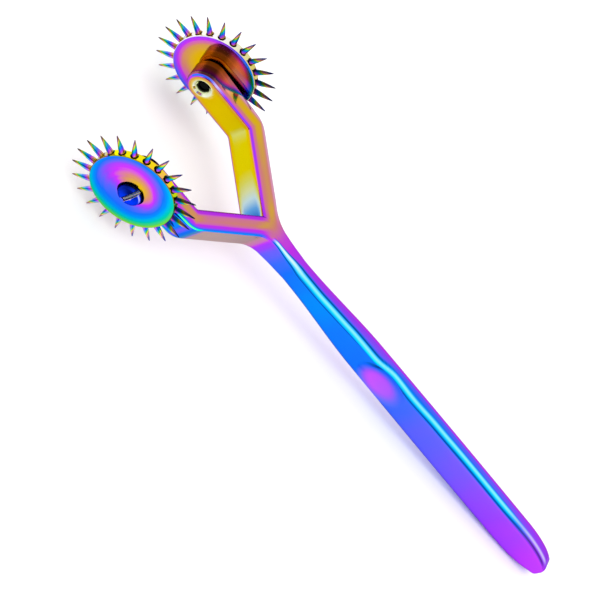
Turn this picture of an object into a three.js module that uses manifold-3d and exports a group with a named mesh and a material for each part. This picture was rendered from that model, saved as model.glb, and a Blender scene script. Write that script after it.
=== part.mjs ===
// Neurological pinwheel: a forged handle that forks into two arms, each carrying a free-turning
// wheel of pressed-in spikes on a slotted shoulder screw.
// Millimetres. The origin is the centre of the butt's flat end, +X runs along the handle to the
// wheels, +Y is the left wheel's side and +Z is square to the plane of the fork.

import * as THREE from "three";
import { mergeVertices } from "three/addons/utils/BufferGeometryUtils.js";
import Module from "manifold-3d";

const wasm = await Module();
wasm.setup();

// Driving dimensions: handle
const barThickness = 5.3;
const gripHeight = 11;
const gripCrown = 0.4;
const neckHeight = 7.4;
const gripLength = 78;
const neckLength = 32;
const neckToFlare = 4.5;
const noseLength = 14;
const noseFlat = 2.6;
const noseEdgeShare = 0.6;
const buttRounding = 0.7;
const buttEdgeRadius = 2;
const shoulderEdgeRadius = 2.3;
const dentLength = 16;
const dentHeight = 11.5;
const dentDepth = 1;
const dentToShoulder = 6;

// Driving dimensions: fork
const flareToPivot = 43;
const armHeight = 9;
const armEdgeRadius = 1.2;
const eyeThickness = 6.1;
const armGap = 30.2;
const crotchToPivot = 30.4;
const bendToPivot = 14.6;
const innerBendRadius = 1.3;
const crotchFilletRadius = 9.5;

// Driving dimensions: wheels
const wheelGap = 0.4;
const discRadius = 11;
const discThickness = 2.5;
const discEdgeRadius = 0.45;
const hubRise = 0.4;
const hubRimRadius = 0.25;
const counterboreRadius = 3.35;
const counterboreDepth = 1.7;
const discBoreRadius = 2.3;

// Driving dimensions: spikes
const spikeCount = 22;
const spikeReach = 5;
const spikeBaseRadius = 0.74;
const spikeTipRadius = 0.1;
const spikeSwellShare = 1.6;
const spikeShankRadius = 0.5;
const spikeShankLength = 2;
const spikeSeatDepth = 0.4;
const leftWheelTurn = THREE.MathUtils.degToRad(4.3);
const rightWheelTurn = THREE.MathUtils.degToRad(-1.5);

// Driving dimensions: pivot screws
const headRadius = 3.05;
const headStandOut = 1.3;
const headCrown = 0.15;
const headEdgeRadius = 0.7;
const slotWidth = 1.2;
const slotDepth = 1.3;
const threadHoleRadius = 1.85;
const countersinkRadius = 2.5;
const countersinkDepth = 0.4;
const screwEndRecess = 1.1;
const screwEndChamfer = 0.4;

// Clearances
const seatGap = 0.3;
const cutOverrun = 1;
const weldDistance = 1e-4;

// Steps on the curves
const cornerSteps = 4;
const noseSteps = 7;
const gripSteps = 7;
const neckSteps = 8;
const flareSteps = 3;
const crotchSteps = 5;
const bendSteps = 5;
const eyeSteps = 14;
const dentSteps = 35;
const discSteps = 44;
const discCornerSteps = 2;
const discFaceSteps = 3;
const holeSteps = 20;
const spikeSteps = 8;
const seatSteps = 8;
const headCornerSteps = 3;
const headCrownSteps = 2;

// Worked out from the driving dimensions
const quarter = Math.PI / 2;
const neckEnd = gripLength + neckLength;
const flareStart = neckEnd + neckToFlare;
const pivotX = flareStart + flareToPivot;
const crotchX = pivotX - crotchToPivot;
const dentX = gripLength - dentToShoulder;
const armInner = armGap / 2;
const armOuter = armInner + eyeThickness;
const discInner = armOuter + wheelGap;
const discOuter = discInner + discThickness;
const hubRim = discOuter + hubRise;
const rimMiddle = discInner + discThickness / 2;
const spikeTipCircle = discRadius + spikeReach;
const spikeSeatRadius = spikeBaseRadius + seatGap;
const armAngle = Math.atan2(armInner, crotchToPivot - bendToPivot);

// Colours of the coated metal, as three.js materials
const finish = (color, roughness) => new THREE.MeshStandardMaterial({ color, roughness, metalness: 1 });
const frameFinish = finish(0x7a55e8, 0.12);
const discFinish = finish(0x2f7fd8, 0.12);
const spikeFinish = finish(0xb58fc0, 0.18);
const screwFinish = finish(0x1a2a9c, 0.2);

// Solids and cuts

function solid(geometry) {
  const bare = geometry.clone();
  bare.deleteAttribute("normal");
  bare.deleteAttribute("uv");
  const merged = mergeVertices(bare, weldDistance);
  return new wasm.Manifold(new wasm.Mesh({
    numProp: 3,
    vertProperties: new Float32Array(merged.attributes.position.array),
    triVerts: new Uint32Array(merged.index.array),
  }));
}

function geometryOf(body) {
  const mesh = body.getMesh();
  const geometry = new THREE.BufferGeometry();
  geometry.setAttribute("position", new THREE.BufferAttribute(mesh.vertProperties, 3));
  geometry.setIndex(new THREE.BufferAttribute(mesh.triVerts, 1));
  geometry.computeVertexNormals();
  return geometry;
}

// A solid turned about the Y axis, from a closed outline of [radius, height along Y] pairs
function turned(outline, steps) {
  const closed = [...outline, outline[0]].map(([radius, height]) => new THREE.Vector2(radius, height));
  return new THREE.LatheGeometry(closed, steps);
}

// A rounded corner as [radius, height] pairs, from one angle to another about a centre
function corner(centreRadius, centreHeight, radius, from, to, steps) {
  const points = [];
  for (let i = 0; i <= steps; i += 1) {
    const angle = from + ((to - from) * i) / steps;
    points.push([centreRadius + radius * Math.cos(angle), centreHeight + radius * Math.sin(angle)]);
  }
  return points;
}

// Handle and fork
// Both are one skin, lofted through rings. A ring is a cross-section with rounded corners, between
// an outer and an inner edge of the plan outline. Each edge is a point and the way in from it.

function edge(x, y, inX, inY) {
  return { x, y, inX, inY };
}

function ring(outer, inner, radius) {
  const points = [];
  const arc = (side, from, sign) => {
    const halfHeight = halfHeightAt(side.x);
    for (let i = 0; i <= cornerSteps; i += 1) {
      const angle = from + (quarter * i) / cornerSteps;
      const inset = radius * (1 - sign * Math.cos(angle));
      const z = Math.sign(Math.sin(from + quarter / 2)) * (halfHeight - radius) + radius * Math.sin(angle);
      points.push(new THREE.Vector3(side.x + side.inX * inset, side.y + side.inY * inset, z));
    }
  };
  arc(outer, -quarter, 1);
  arc(outer, 0, 1);
  arc(inner, quarter, -1);
  arc(inner, 2 * quarter, -1);
  return points;
}

function addQuad(triangles, a, b, c, d) {
  triangles.push(a, b, c, a, c, d);
}

function addLoft(triangles, rings) {
  for (let station = 1; station < rings.length; station += 1) {
    const before = rings[station - 1];
    const after = rings[station];
    before.forEach((point, i) => {
      const next = (i + 1) % before.length;
      addQuad(triangles, point, before[next], after[next], after[i]);
    });
  }
}

// Half the height of the handle and the fork at a distance from the butt
function halfHeightAt(x) {
  const crown = gripCrown * Math.sin((Math.PI * Math.min(x, gripLength)) / gripLength);
  const grip = (gripHeight + crown) / 2;
  if (x < noseLength) {
    const share = 1 - x / noseLength;
    return noseFlat / 2 + (grip - noseFlat / 2) * Math.sqrt(1 - share * share);
  }
  if (x <= gripLength) return grip;
  const blend = (from, to, share) => from + ((to - from) * (1 - Math.cos(Math.PI * share))) / 2;
  if (x <= neckEnd) return blend(gripHeight / 2, neckHeight / 2, (x - gripLength) / neckLength);
  if (x <= flareStart) return neckHeight / 2;
  return blend(neckHeight / 2, armHeight / 2, Math.min(1, (x - flareStart) / (crotchX - flareStart)));
}

// Radius of the handle's long edges: fullest from the shoulder to the neck's end, limited by the nose
function handleEdgeRadius(x) {
  if (x <= gripLength) {
    const radius = buttEdgeRadius + ((shoulderEdgeRadius - buttEdgeRadius) * x) / gripLength;
    return Math.min(radius, halfHeightAt(x) * noseEdgeShare);
  }
  if (x <= neckEnd) return shoulderEdgeRadius;
  return shoulderEdgeRadius + ((armEdgeRadius - shoulderEdgeRadius) * (x - neckEnd)) / (forkStart - neckEnd);
}

function handleRing(x) {
  const reach = Math.max(0, buttRounding - x);
  const drawIn = buttRounding - Math.sqrt(buttRounding * buttRounding - reach * reach);
  const halfWidth = barThickness / 2 - drawIn;
  return ring(edge(x, halfWidth, 0, -1), edge(x, -halfWidth, 0, 1), handleEdgeRadius(x));
}

// The plan of the left arm: its slanted faces run from the crotch to the bend, and from there it
// thickens outwards to the eye
const along = { x: Math.cos(armAngle), y: Math.sin(armAngle) };
const outward = { x: -along.y, y: along.x };
const filletCentreY = barThickness / 2 + crotchFilletRadius;
const filletRun = (filletCentreY - (barThickness + crotchFilletRadius) * outward.y) / along.y;
const filletCentreX = crotchX + (barThickness + crotchFilletRadius) * outward.x + filletRun * along.x;
const forkStart = filletCentreX;
const bendCentreY = armInner - innerBendRadius;
const bendRun = (bendCentreY + innerBendRadius * outward.y) / along.y;
const bendCentreX = crotchX + bendRun * along.x - innerBendRadius * outward.x;

function armRings() {
  const rings = [];
  const add = (outer, inner) => rings.push(ring(outer, inner, armEdgeRadius));
  for (let i = 0; i <= crotchSteps; i += 1) {
    const share = i / crotchSteps;
    const turn = armAngle * share;
    const normal = { x: -Math.sin(turn), y: Math.cos(turn) };
    const outer = edge(
      filletCentreX - crotchFilletRadius * normal.x,
      filletCentreY - crotchFilletRadius * normal.y,
      -normal.x,
      -normal.y,
    );
    const run = filletRun * share;
    const inner = i === 0
      ? edge(crotchX, 0, -1 / Math.sin(armAngle), 0)
      : edge(crotchX + run * along.x, run * along.y, outward.x, outward.y);
    add(outer, inner);
  }
  for (let i = 0; i <= bendSteps; i += 1) {
    const turn = armAngle * (1 - i / bendSteps);
    const normal = { x: -Math.sin(turn), y: Math.cos(turn) };
    const outerRadius = innerBendRadius + barThickness;
    add(
      edge(bendCentreX + outerRadius * normal.x, bendCentreY + outerRadius * normal.y, -normal.x, -normal.y),
      edge(bendCentreX + innerBendRadius * normal.x, bendCentreY + innerBendRadius * normal.y, normal.x, normal.y),
    );
  }
  add(edge(pivotX, armOuter, 0, -1), edge(pivotX, armInner, 0, 1));
  return rings;
}

// The round eye: the upper half of the arm's last ring turned about the pivot down to the lower half
function addEye(triangles, lastRing) {
  const first = cornerSteps + 1;
  const profile = lastRing.slice(first, first + 2 * (cornerSteps + 1));
  const turnedProfile = (angle) => profile.map((point) => new THREE.Vector3(
    pivotX + point.z * Math.sin(angle), point.y, point.z * Math.cos(angle),
  ));
  const sweep = [];
  for (let i = 0; i <= eyeSteps; i += 1) sweep.push(turnedProfile((Math.PI * i) / eyeSteps));
  for (let i = 1; i <= eyeSteps; i += 1) {
    for (let k = 1; k < profile.length; k += 1) {
      addQuad(triangles, sweep[i - 1][k - 1], sweep[i - 1][k], sweep[i][k], sweep[i][k - 1]);
    }
  }
  const outerFace = sweep.map((points) => points[0]);
  const innerFace = sweep.map((points) => points[points.length - 1]);
  for (let i = 2; i <= eyeSteps; i += 1) {
    triangles.push(outerFace[0], outerFace[i - 1], outerFace[i]);
    triangles.push(innerFace[0], innerFace[i], innerFace[i - 1]);
  }
}

function mirrored(triangles) {
  const flipped = triangles.map((point) => new THREE.Vector3(point.x, -point.y, point.z));
  for (let i = 0; i < flipped.length; i += 3) [flipped[i + 1], flipped[i + 2]] = [flipped[i + 2], flipped[i + 1]];
  return flipped;
}

function handleStations() {
  const stations = [];
  for (let i = 0; i < noseSteps; i += 1) stations.push(noseLength * (1 - Math.cos((quarter * i) / noseSteps)));
  const stretch = (from, to, steps) => {
    for (let i = 0; i < steps; i += 1) stations.push(from + ((to - from) * i) / steps);
  };
  stretch(noseLength, gripLength, gripSteps);
  stretch(gripLength, neckEnd, neckSteps);
  stretch(neckEnd, flareStart, 1);
  stretch(flareStart, forkStart, flareSteps);
  stations.push(forkStart);
  return stations;
}

function frameSkin() {
  const handleRings = handleStations().map(handleRing);
  const triangles = [];
  addLoft(triangles, handleRings);
  const butt = handleRings[0];
  for (let i = 2; i < butt.length; i += 1) triangles.push(butt[0], butt[i], butt[i - 1]);

  const arm = armRings();
  const leftArm = [];
  addLoft(leftArm, arm);
  addEye(leftArm, arm[arm.length - 1]);
  triangles.push(...leftArm, ...mirrored(leftArm));

  const top = 2 * cornerSteps + 1;
  const outerTop = arm[0][top];
  const innerTop = arm[0][top + 1];
  const outerBottom = arm[0][0];
  const innerBottom = arm[0][arm[0].length - 1];
  const opposite = (point) => new THREE.Vector3(point.x, -point.y, point.z);
  triangles.push(outerTop, opposite(outerTop), innerTop);
  triangles.push(outerBottom, innerBottom, opposite(outerBottom));

  return new THREE.BufferGeometry().setFromPoints(triangles);
}

// The threaded hole in an arm, with the countersink on its inner face
function pivotHole(side) {
  const outline = [
    [0, armInner - cutOverrun],
    [countersinkRadius + cutOverrun * ((countersinkRadius - threadHoleRadius) / countersinkDepth),
      armInner - cutOverrun],
    [threadHoleRadius, armInner + countersinkDepth],
    [threadHoleRadius, armOuter + cutOverrun],
    [0, armOuter + cutOverrun],
  ];
  return placedOnPivot(turned(outline, holeSteps), side);
}

// The oval finger dent in a broad face of the grip
function fingerDent(side) {
  const halfLength = dentLength / 2;
  const halfHeight = dentHeight / 2;
  const ballRadius = (halfLength * halfLength + dentDepth * dentDepth) / (2 * dentDepth);
  const ball = new THREE.SphereGeometry(ballRadius, dentSteps * 2, dentSteps);
  ball.scale(1, 1, halfHeight / halfLength);
  ball.translate(dentX, side * (barThickness / 2 + ballRadius - dentDepth), 0);
  return ball;
}

// A shape turned about Y for the left side, moved to the pivot, and mirrored for the right side
function placedOnPivot(geometry, side) {
  const placed = geometry.clone();
  if (side < 0) placed.rotateX(Math.PI);
  placed.translate(pivotX, 0, 0);
  return placed;
}

function frame() {
  let body = solid(frameSkin());
  for (const side of [1, -1]) {
    body = body.subtract(solid(pivotHole(side)));
    body = body.subtract(solid(fingerDent(side)));
  }
  return geometryOf(body);
}

// Wheels

function discOutline() {
  const bandRadius = discRadius - discEdgeRadius;
  const rimRadius = counterboreRadius + hubRimRadius;
  const face = [];
  for (let i = 1; i < discFaceSteps; i += 1) {
    const share = i / discFaceSteps;
    face.push([bandRadius + (rimRadius - bandRadius) * share, discOuter + hubRise * Math.sin(quarter * share)]);
  }
  return [
    [discBoreRadius, discInner],
    ...corner(bandRadius, discInner + discEdgeRadius, discEdgeRadius, -quarter, 0, discCornerSteps),
    ...corner(bandRadius, discOuter - discEdgeRadius, discEdgeRadius, 0, quarter, discCornerSteps),
    ...face,
    ...corner(rimRadius, hubRim - hubRimRadius, hubRimRadius, quarter, 2 * quarter, discCornerSteps),
    [counterboreRadius, hubRim - counterboreDepth],
    [discBoreRadius, hubRim - counterboreDepth],
  ];
}

// One spike's seat in the rim, standing along +Y: a drilled hole with a countersink
function spikeSeat() {
  const holeRadius = spikeShankRadius + seatGap;
  const holeBottom = discRadius - spikeSeatDepth - spikeShankLength - seatGap;
  const outline = [
    [0, holeBottom],
    [holeRadius, holeBottom],
    [holeRadius, discRadius - spikeSeatDepth],
    [spikeSeatRadius, discRadius],
    [spikeSeatRadius, discRadius + cutOverrun],
    [0, discRadius + cutOverrun],
  ];
  return turned(outline, seatSteps);
}

// Turns a shape that stands along +Y to point out of the rim at an angle about the wheel's axis
function radially(geometry, angle, side) {
  const placed = geometry.clone();
  placed.rotateZ(quarter);
  placed.rotateY(angle);
  placed.translate(pivotX, side * rimMiddle, 0);
  return placed;
}

function spikeAngle(index, turn) {
  return turn + (2 * Math.PI * index) / spikeCount;
}

function disc(side, turn) {
  let body = solid(placedOnPivot(turned(discOutline(), discSteps), side));
  for (let index = 0; index < spikeCount; index += 1) {
    body = body.subtract(solid(radially(spikeSeat(), spikeAngle(index, turn), side)));
  }
  return geometryOf(body);
}

// A spike: a plain shank under a slender cone that swells a little below its middle
function spike() {
  const seatBottom = discRadius - spikeSeatDepth + seatGap;
  const coneLength = spikeTipCircle - seatBottom;
  const coneShares = [0, 0.45, 1];
  const cone = coneShares.map((share) => [
    spikeTipRadius + (spikeBaseRadius - spikeTipRadius) * (1 - share ** spikeSwellShare),
    seatBottom + coneLength * share,
  ]);
  const outline = [
    [0, seatBottom - spikeShankLength],
    [spikeShankRadius, seatBottom - spikeShankLength],
    [spikeShankRadius, seatBottom],
    ...cone,
    [0, spikeTipCircle],
  ];
  return turned(outline, spikeSteps);
}

// Pivot screws

function screwOutline() {
  const headTop = hubRim + headStandOut;
  const headFloor = hubRim - counterboreDepth + seatGap;
  const crown = [];
  for (let i = 1; i <= headCrownSteps; i += 1) {
    const share = 1 - i / headCrownSteps;
    crown.push([(headRadius - headEdgeRadius) * share, headTop - headCrown * share ** 2]);
  }
  const edgeHeight = headTop - headCrown - headEdgeRadius;
  const shoulderRadius = discBoreRadius - seatGap;
  const threadRadius = threadHoleRadius - seatGap;
  const end = armInner + screwEndRecess;
  return [
    [0, end],
    [threadRadius - screwEndChamfer, end],
    [threadRadius, end + screwEndChamfer],
    [threadRadius, armOuter + seatGap],
    [shoulderRadius, armOuter + seatGap],
    [shoulderRadius, headFloor],
    [headRadius, headFloor],
    ...corner(headRadius - headEdgeRadius, edgeHeight, headEdgeRadius, 0, quarter, headCornerSteps),
    ...crown,
  ];
}

function screw(side) {
  const headTop = hubRim + headStandOut;
  const slot = new THREE.BoxGeometry(slotWidth, slotDepth + cutOverrun, 2 * headRadius + 2 * cutOverrun);
  slot.translate(0, headTop - slotDepth + (slotDepth + cutOverrun) / 2, 0);
  const body = solid(turned(screwOutline(), holeSteps)).subtract(solid(slot));
  return placedOnPivot(geometryOf(body), side);
}

// Assembly

const pinwheel = new THREE.Group();

function addPiece(name, geometry, material) {
  const mesh = new THREE.Mesh(geometry, material.clone());
  mesh.name = name;
  pinwheel.add(mesh);
}

addPiece("fork_handle", frame(), frameFinish);

const sides = [
  { name: "left", side: 1, turn: leftWheelTurn },
  { name: "right", side: -1, turn: rightWheelTurn },
];
for (const { name, side, turn } of sides) {
  addPiece(`${name}_disc`, disc(side, turn), discFinish);
  addPiece(`${name}_pivot_screw`, screw(side), screwFinish);
  for (let index = 0; index < spikeCount; index += 1) {
    const number = String(index + 1).padStart(2, "0");
    addPiece(`${name}_spike_${number}`, radially(spike(), spikeAngle(index, turn), side), spikeFinish);
  }
}

export default pinwheel;
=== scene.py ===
import math

import bmesh
import bpy
from mathutils import Matrix, Vector


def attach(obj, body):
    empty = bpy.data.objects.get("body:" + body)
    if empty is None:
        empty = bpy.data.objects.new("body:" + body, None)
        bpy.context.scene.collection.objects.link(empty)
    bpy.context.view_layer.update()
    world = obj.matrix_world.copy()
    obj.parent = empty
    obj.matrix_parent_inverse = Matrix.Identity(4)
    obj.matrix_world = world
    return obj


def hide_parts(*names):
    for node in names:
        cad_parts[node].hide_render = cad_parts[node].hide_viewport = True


# Neurological pinwheel: a forked handle and two wheels of pressed-in spikes, all polished and
# coated with a thin film whose thickness sets the colour.
# Metres. The origin is the centre of the butt's flat end, +X runs along the handle to the wheels,
# +Y is the left wheel's side and +Z is square to the plane of the fork.

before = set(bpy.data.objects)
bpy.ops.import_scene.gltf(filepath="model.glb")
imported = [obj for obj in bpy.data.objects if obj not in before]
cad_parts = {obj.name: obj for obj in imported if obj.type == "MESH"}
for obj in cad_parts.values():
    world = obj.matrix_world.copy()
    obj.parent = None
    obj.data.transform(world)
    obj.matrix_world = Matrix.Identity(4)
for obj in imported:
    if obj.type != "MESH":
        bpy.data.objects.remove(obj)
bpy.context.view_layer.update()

MM = 0.001
QUARTER = math.pi / 2
SIDES = {"left": 1, "right": -1}

# Sizes of the handle
BAR_THICKNESS = 5.3 * MM
GRIP_HEIGHT = 11 * MM
GRIP_CROWN = 0.4 * MM
NECK_HEIGHT = 7.4 * MM
GRIP_LENGTH = 78 * MM
NECK_LENGTH = 32 * MM
NECK_TO_FLARE = 4.5 * MM
NOSE_LENGTH = 14 * MM
NOSE_FLAT = 2.6 * MM
NOSE_EDGE_SHARE = 0.6
BUTT_ROUNDING = 0.7 * MM
BUTT_EDGE_RADIUS = 2 * MM
SHOULDER_EDGE_RADIUS = 2.3 * MM
DENT_LENGTH = 16 * MM
DENT_HEIGHT = 11.5 * MM
DENT_DEPTH = 1 * MM
DENT_TO_SHOULDER = 6 * MM

# Sizes of the fork
FLARE_TO_PIVOT = 43 * MM
ARM_HEIGHT = 9 * MM
ARM_EDGE_RADIUS = 1.2 * MM
EYE_THICKNESS = 6.1 * MM
ARM_GAP = 30.2 * MM
CROTCH_TO_PIVOT = 30.4 * MM
BEND_TO_PIVOT = 14.6 * MM
INNER_BEND_RADIUS = 1.3 * MM
CROTCH_FILLET_RADIUS = 9.5 * MM
HOLE_RADIUS = 1.85 * MM
COUNTERSINK_RADIUS = 2.5 * MM
COUNTERSINK_DEPTH = 0.4 * MM
THREAD_PITCH = 0.5 * MM
THREAD_HEIGHT = 0.26 * MM
THREAD_TURNS = 7.0
CUT_OVERRUN = 1 * MM

# Sizes of the wheels
WHEEL_GAP = 0.4 * MM
DISC_RADIUS = 11 * MM
DISC_THICKNESS = 2.5 * MM
DISC_EDGE_RADIUS = 0.45 * MM
HUB_RISE = 0.4 * MM
HUB_RIM_RADIUS = 0.25 * MM
COUNTERBORE_RADIUS = 3.35 * MM
COUNTERBORE_DEPTH = 1.7 * MM
DISC_BORE_RADIUS = 2.3 * MM

# Sizes of the spikes
SPIKE_COUNT = 22
SPIKE_REACH = 5 * MM
SPIKE_BASE_RADIUS = 0.74 * MM
SPIKE_TIP_RADIUS = 0.1 * MM
SPIKE_SWELL_SHARE = 1.6
SPIKE_SHANK_RADIUS = 0.5 * MM
SPIKE_SHANK_LENGTH = 2 * MM
SPIKE_SEAT_DEPTH = 0.4 * MM
SEAT_GAP = 0.3 * MM
WHEEL_TURN = {"left": math.radians(4.3), "right": math.radians(-1.5)}

# Sizes of the pivot screws
HEAD_RADIUS = 3.05 * MM
HEAD_STAND_OUT = 1.3 * MM
HEAD_CROWN = 0.15 * MM
HEAD_EDGE_RADIUS = 0.7 * MM
SLOT_WIDTH = 1.2 * MM
SLOT_DEPTH = 1.3 * MM
SLOT_BREAK = 0.05 * MM
SLOT_BREAK_STEPS = 2
SLOT_BREAK_ANGLE = math.radians(50)
SCREW_END_RECESS = 1.1 * MM
SCREW_END_CHAMFER = 0.4 * MM

# Steps on the curves
CORNER_STEPS = 18
FACE_STEPS = 12
TOP_STEPS = 8
NOSE_STEPS = 40
GRIP_STEPS = 48
NECK_STEPS = 28
FLARE_STEPS = 8
CROTCH_STEPS = 20
ARM_STEPS = 24
BEND_STEPS = 20
EYE_STEPS = 60
ROUND_STEPS = 96
DISC_STEPS = 176
DISC_CORNER_STEPS = 8
DISC_FACE_STEPS = 24
SPIKE_LENGTH_STEPS = 12
SPIKE_ROUND_STEPS = 20
THREAD_STEPS = 48
THREAD_ROUND_STEPS = 6
SMOOTH_UP_TO = math.radians(20)
WELD_DISTANCE = 0.001 * MM

# Worked out from the sizes
NECK_END = GRIP_LENGTH + NECK_LENGTH
FLARE_START = NECK_END + NECK_TO_FLARE
PIVOT_X = FLARE_START + FLARE_TO_PIVOT
CROTCH_X = PIVOT_X - CROTCH_TO_PIVOT
DENT_X = GRIP_LENGTH - DENT_TO_SHOULDER
ARM_INNER = ARM_GAP / 2
ARM_OUTER = ARM_INNER + EYE_THICKNESS
DISC_INNER = ARM_OUTER + WHEEL_GAP
DISC_OUTER = DISC_INNER + DISC_THICKNESS
HUB_RIM = DISC_OUTER + HUB_RISE
RIM_MIDDLE = DISC_INNER + DISC_THICKNESS / 2
SPIKE_TIP_CIRCLE = DISC_RADIUS + SPIKE_REACH
SPIKE_SEAT_RADIUS = SPIKE_BASE_RADIUS + SEAT_GAP
ARM_ANGLE = math.atan2(ARM_INNER, CROTCH_TO_PIVOT - BEND_TO_PIVOT)
ALONG_ARM = Vector((math.cos(ARM_ANGLE), math.sin(ARM_ANGLE), 0))
OUT_OF_ARM = Vector((-ALONG_ARM.y, ALONG_ARM.x, 0))
FILLET_CENTRE_Y = BAR_THICKNESS / 2 + CROTCH_FILLET_RADIUS
FILLET_REACH = BAR_THICKNESS + CROTCH_FILLET_RADIUS
FILLET_RUN = (FILLET_CENTRE_Y - FILLET_REACH * OUT_OF_ARM.y) / ALONG_ARM.y
FORK_START = CROTCH_X + FILLET_REACH * OUT_OF_ARM.x + FILLET_RUN * ALONG_ARM.x
BEND_CENTRE_Y = ARM_INNER - INNER_BEND_RADIUS
BEND_RUN = (BEND_CENTRE_Y + INNER_BEND_RADIUS * OUT_OF_ARM.y) / ALONG_ARM.y
BEND_CENTRE_X = CROTCH_X + BEND_RUN * ALONG_ARM.x - INNER_BEND_RADIUS * OUT_OF_ARM.x

# Camera, fitted to the photograph; lens and sensor are in millimetres
CAMERA_PLACE = Vector((0.3274, 0.3700, 0.3935))
CAMERA_RIGHT = Vector((-0.593, -0.394, 0.702))
CAMERA_BACK = Vector((0.384, 0.628, 0.677))
CAMERA_LENS = 142.04
CAMERA_SENSOR = 36
CAMERA_CLIP = 10 * MM

# Studio
LAMP_PLACE = Vector((30, 90, 600)) * MM
LAMP_WIDTH = 500 * MM
LAMP_POWER = 1.2
BACKDROP_STRENGTH = 1.0
STUDIO_LIGHT_STRENGTH = 1.1
FLOOR_REACH = 900 * MM
PAPER_COLOUR = (0.97, 0.97, 0.97, 1)


# Small helpers

def blend(low, high, share):
    """From low to high, gently at both ends, as share goes from 0 to 1."""
    share = min(1.0, max(0.0, share))
    return low + (high - low) * (1 - math.cos(math.pi * share)) / 2


def ramp(value, start, end):
    """0 before start, 1 after end, smooth between."""
    return blend(0.0, 1.0, (value - start) / (end - start))


def hill(value, middle, width, height=1.0):
    """Its height at the middle, falling smoothly to nothing on both sides."""
    return height * math.exp(-((value - middle) / width) ** 2)


def between(value, stops):
    """Smooth values along a list of (place, value) stops."""
    if value <= stops[0][0]:
        return stops[0][1]
    for (start, low), (end, high) in zip(stops, stops[1:]):
        if value <= end:
            return blend(low, high, (value - start) / (end - start))
    return stops[-1][1]


# Meshes

def object_from(name, points, faces):
    """A new object in the scene from plain points and faces."""
    mesh = bpy.data.meshes.new(name)
    mesh.from_pydata(points, [], faces)
    obj = bpy.data.objects.new(name, mesh)
    bpy.context.scene.collection.objects.link(obj)
    return obj


def weld(obj):
    """Joins doubled points and turns every face outwards."""
    bm = bmesh.new()
    bm.from_mesh(obj.data)
    bmesh.ops.remove_doubles(bm, verts=bm.verts, dist=WELD_DISTANCE)
    bmesh.ops.recalc_face_normals(bm, faces=bm.faces)
    bm.to_mesh(obj.data)
    bm.free()


def bake_modifiers(obj):
    """Turns what the modifiers make into the object's own plain mesh."""
    depsgraph = bpy.context.evaluated_depsgraph_get()
    baked = bpy.data.meshes.new_from_object(obj.evaluated_get(depsgraph))
    obj.modifiers.clear()
    obj.data = baked


def cut(obj, tool):
    """Takes the tool's shape out of obj, and the tool out of the scene."""
    difference = obj.modifiers.new("cut", "BOOLEAN")
    difference.operation = "DIFFERENCE"
    difference.solver = "EXACT"
    difference.object = tool
    bake_modifiers(obj)
    bpy.data.objects.remove(tool)


def polish(obj):
    """Smooth shading with true flats: sharp corners stay, and wide faces lead the normals."""
    obj.data.shade_smooth()
    obj.data.set_sharp_from_angle(angle=SMOOTH_UP_TO)
    weighted = obj.modifiers.new("true flats", "WEIGHTED_NORMAL")
    weighted.keep_sharp = True
    bake_modifiers(obj)


def turned(name, outline, steps, side):
    """A solid turned about the pivot's axis, from a closed outline of (radius, height) pairs."""
    points = []
    for step in range(steps):
        angle = 2 * math.pi * step / steps
        for radius, height in outline:
            points.append((PIVOT_X + radius * math.cos(angle), side * height, radius * math.sin(angle)))
    count = len(outline)
    faces = []
    for step in range(steps):
        here = step * count
        there = ((step + 1) % steps) * count
        for i in range(count):
            j = (i + 1) % count
            faces.append((here + i, here + j, there + j, there + i))
    obj = object_from(name, points, faces)
    weld(obj)
    return obj


def corner(centre_radius, centre_height, radius, start, end):
    """A rounded corner of an outline, as (radius, height) pairs."""
    points = []
    for i in range(DISC_CORNER_STEPS + 1):
        angle = start + (end - start) * i / DISC_CORNER_STEPS
        points.append((centre_radius + radius * math.cos(angle), centre_height + radius * math.sin(angle)))
    return points


# Handle and fork

def half_height(x):
    """Half the height of the handle and the fork at a distance from the butt."""
    crown = GRIP_CROWN * math.sin(math.pi * min(x, GRIP_LENGTH) / GRIP_LENGTH)
    grip = (GRIP_HEIGHT + crown) / 2
    if x < NOSE_LENGTH:
        share = 1 - x / NOSE_LENGTH
        return NOSE_FLAT / 2 + (grip - NOSE_FLAT / 2) * math.sqrt(1 - share * share)
    if x <= GRIP_LENGTH:
        return grip
    if x <= NECK_END:
        return blend(GRIP_HEIGHT / 2, NECK_HEIGHT / 2, (x - GRIP_LENGTH) / NECK_LENGTH)
    return blend(NECK_HEIGHT / 2, ARM_HEIGHT / 2, (x - FLARE_START) / (CROTCH_X - FLARE_START))


def handle_edge_radius(x):
    """Rounding of the long edges at a distance from the butt."""
    if x <= GRIP_LENGTH:
        radius = BUTT_EDGE_RADIUS + (SHOULDER_EDGE_RADIUS - BUTT_EDGE_RADIUS) * x / GRIP_LENGTH
        return min(radius, half_height(x) * NOSE_EDGE_SHARE)
    if x <= NECK_END:
        return SHOULDER_EDGE_RADIUS
    share = (x - NECK_END) / (FORK_START - NECK_END)
    return SHOULDER_EDGE_RADIUS + (ARM_EDGE_RADIUS - SHOULDER_EDGE_RADIUS) * share


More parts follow.
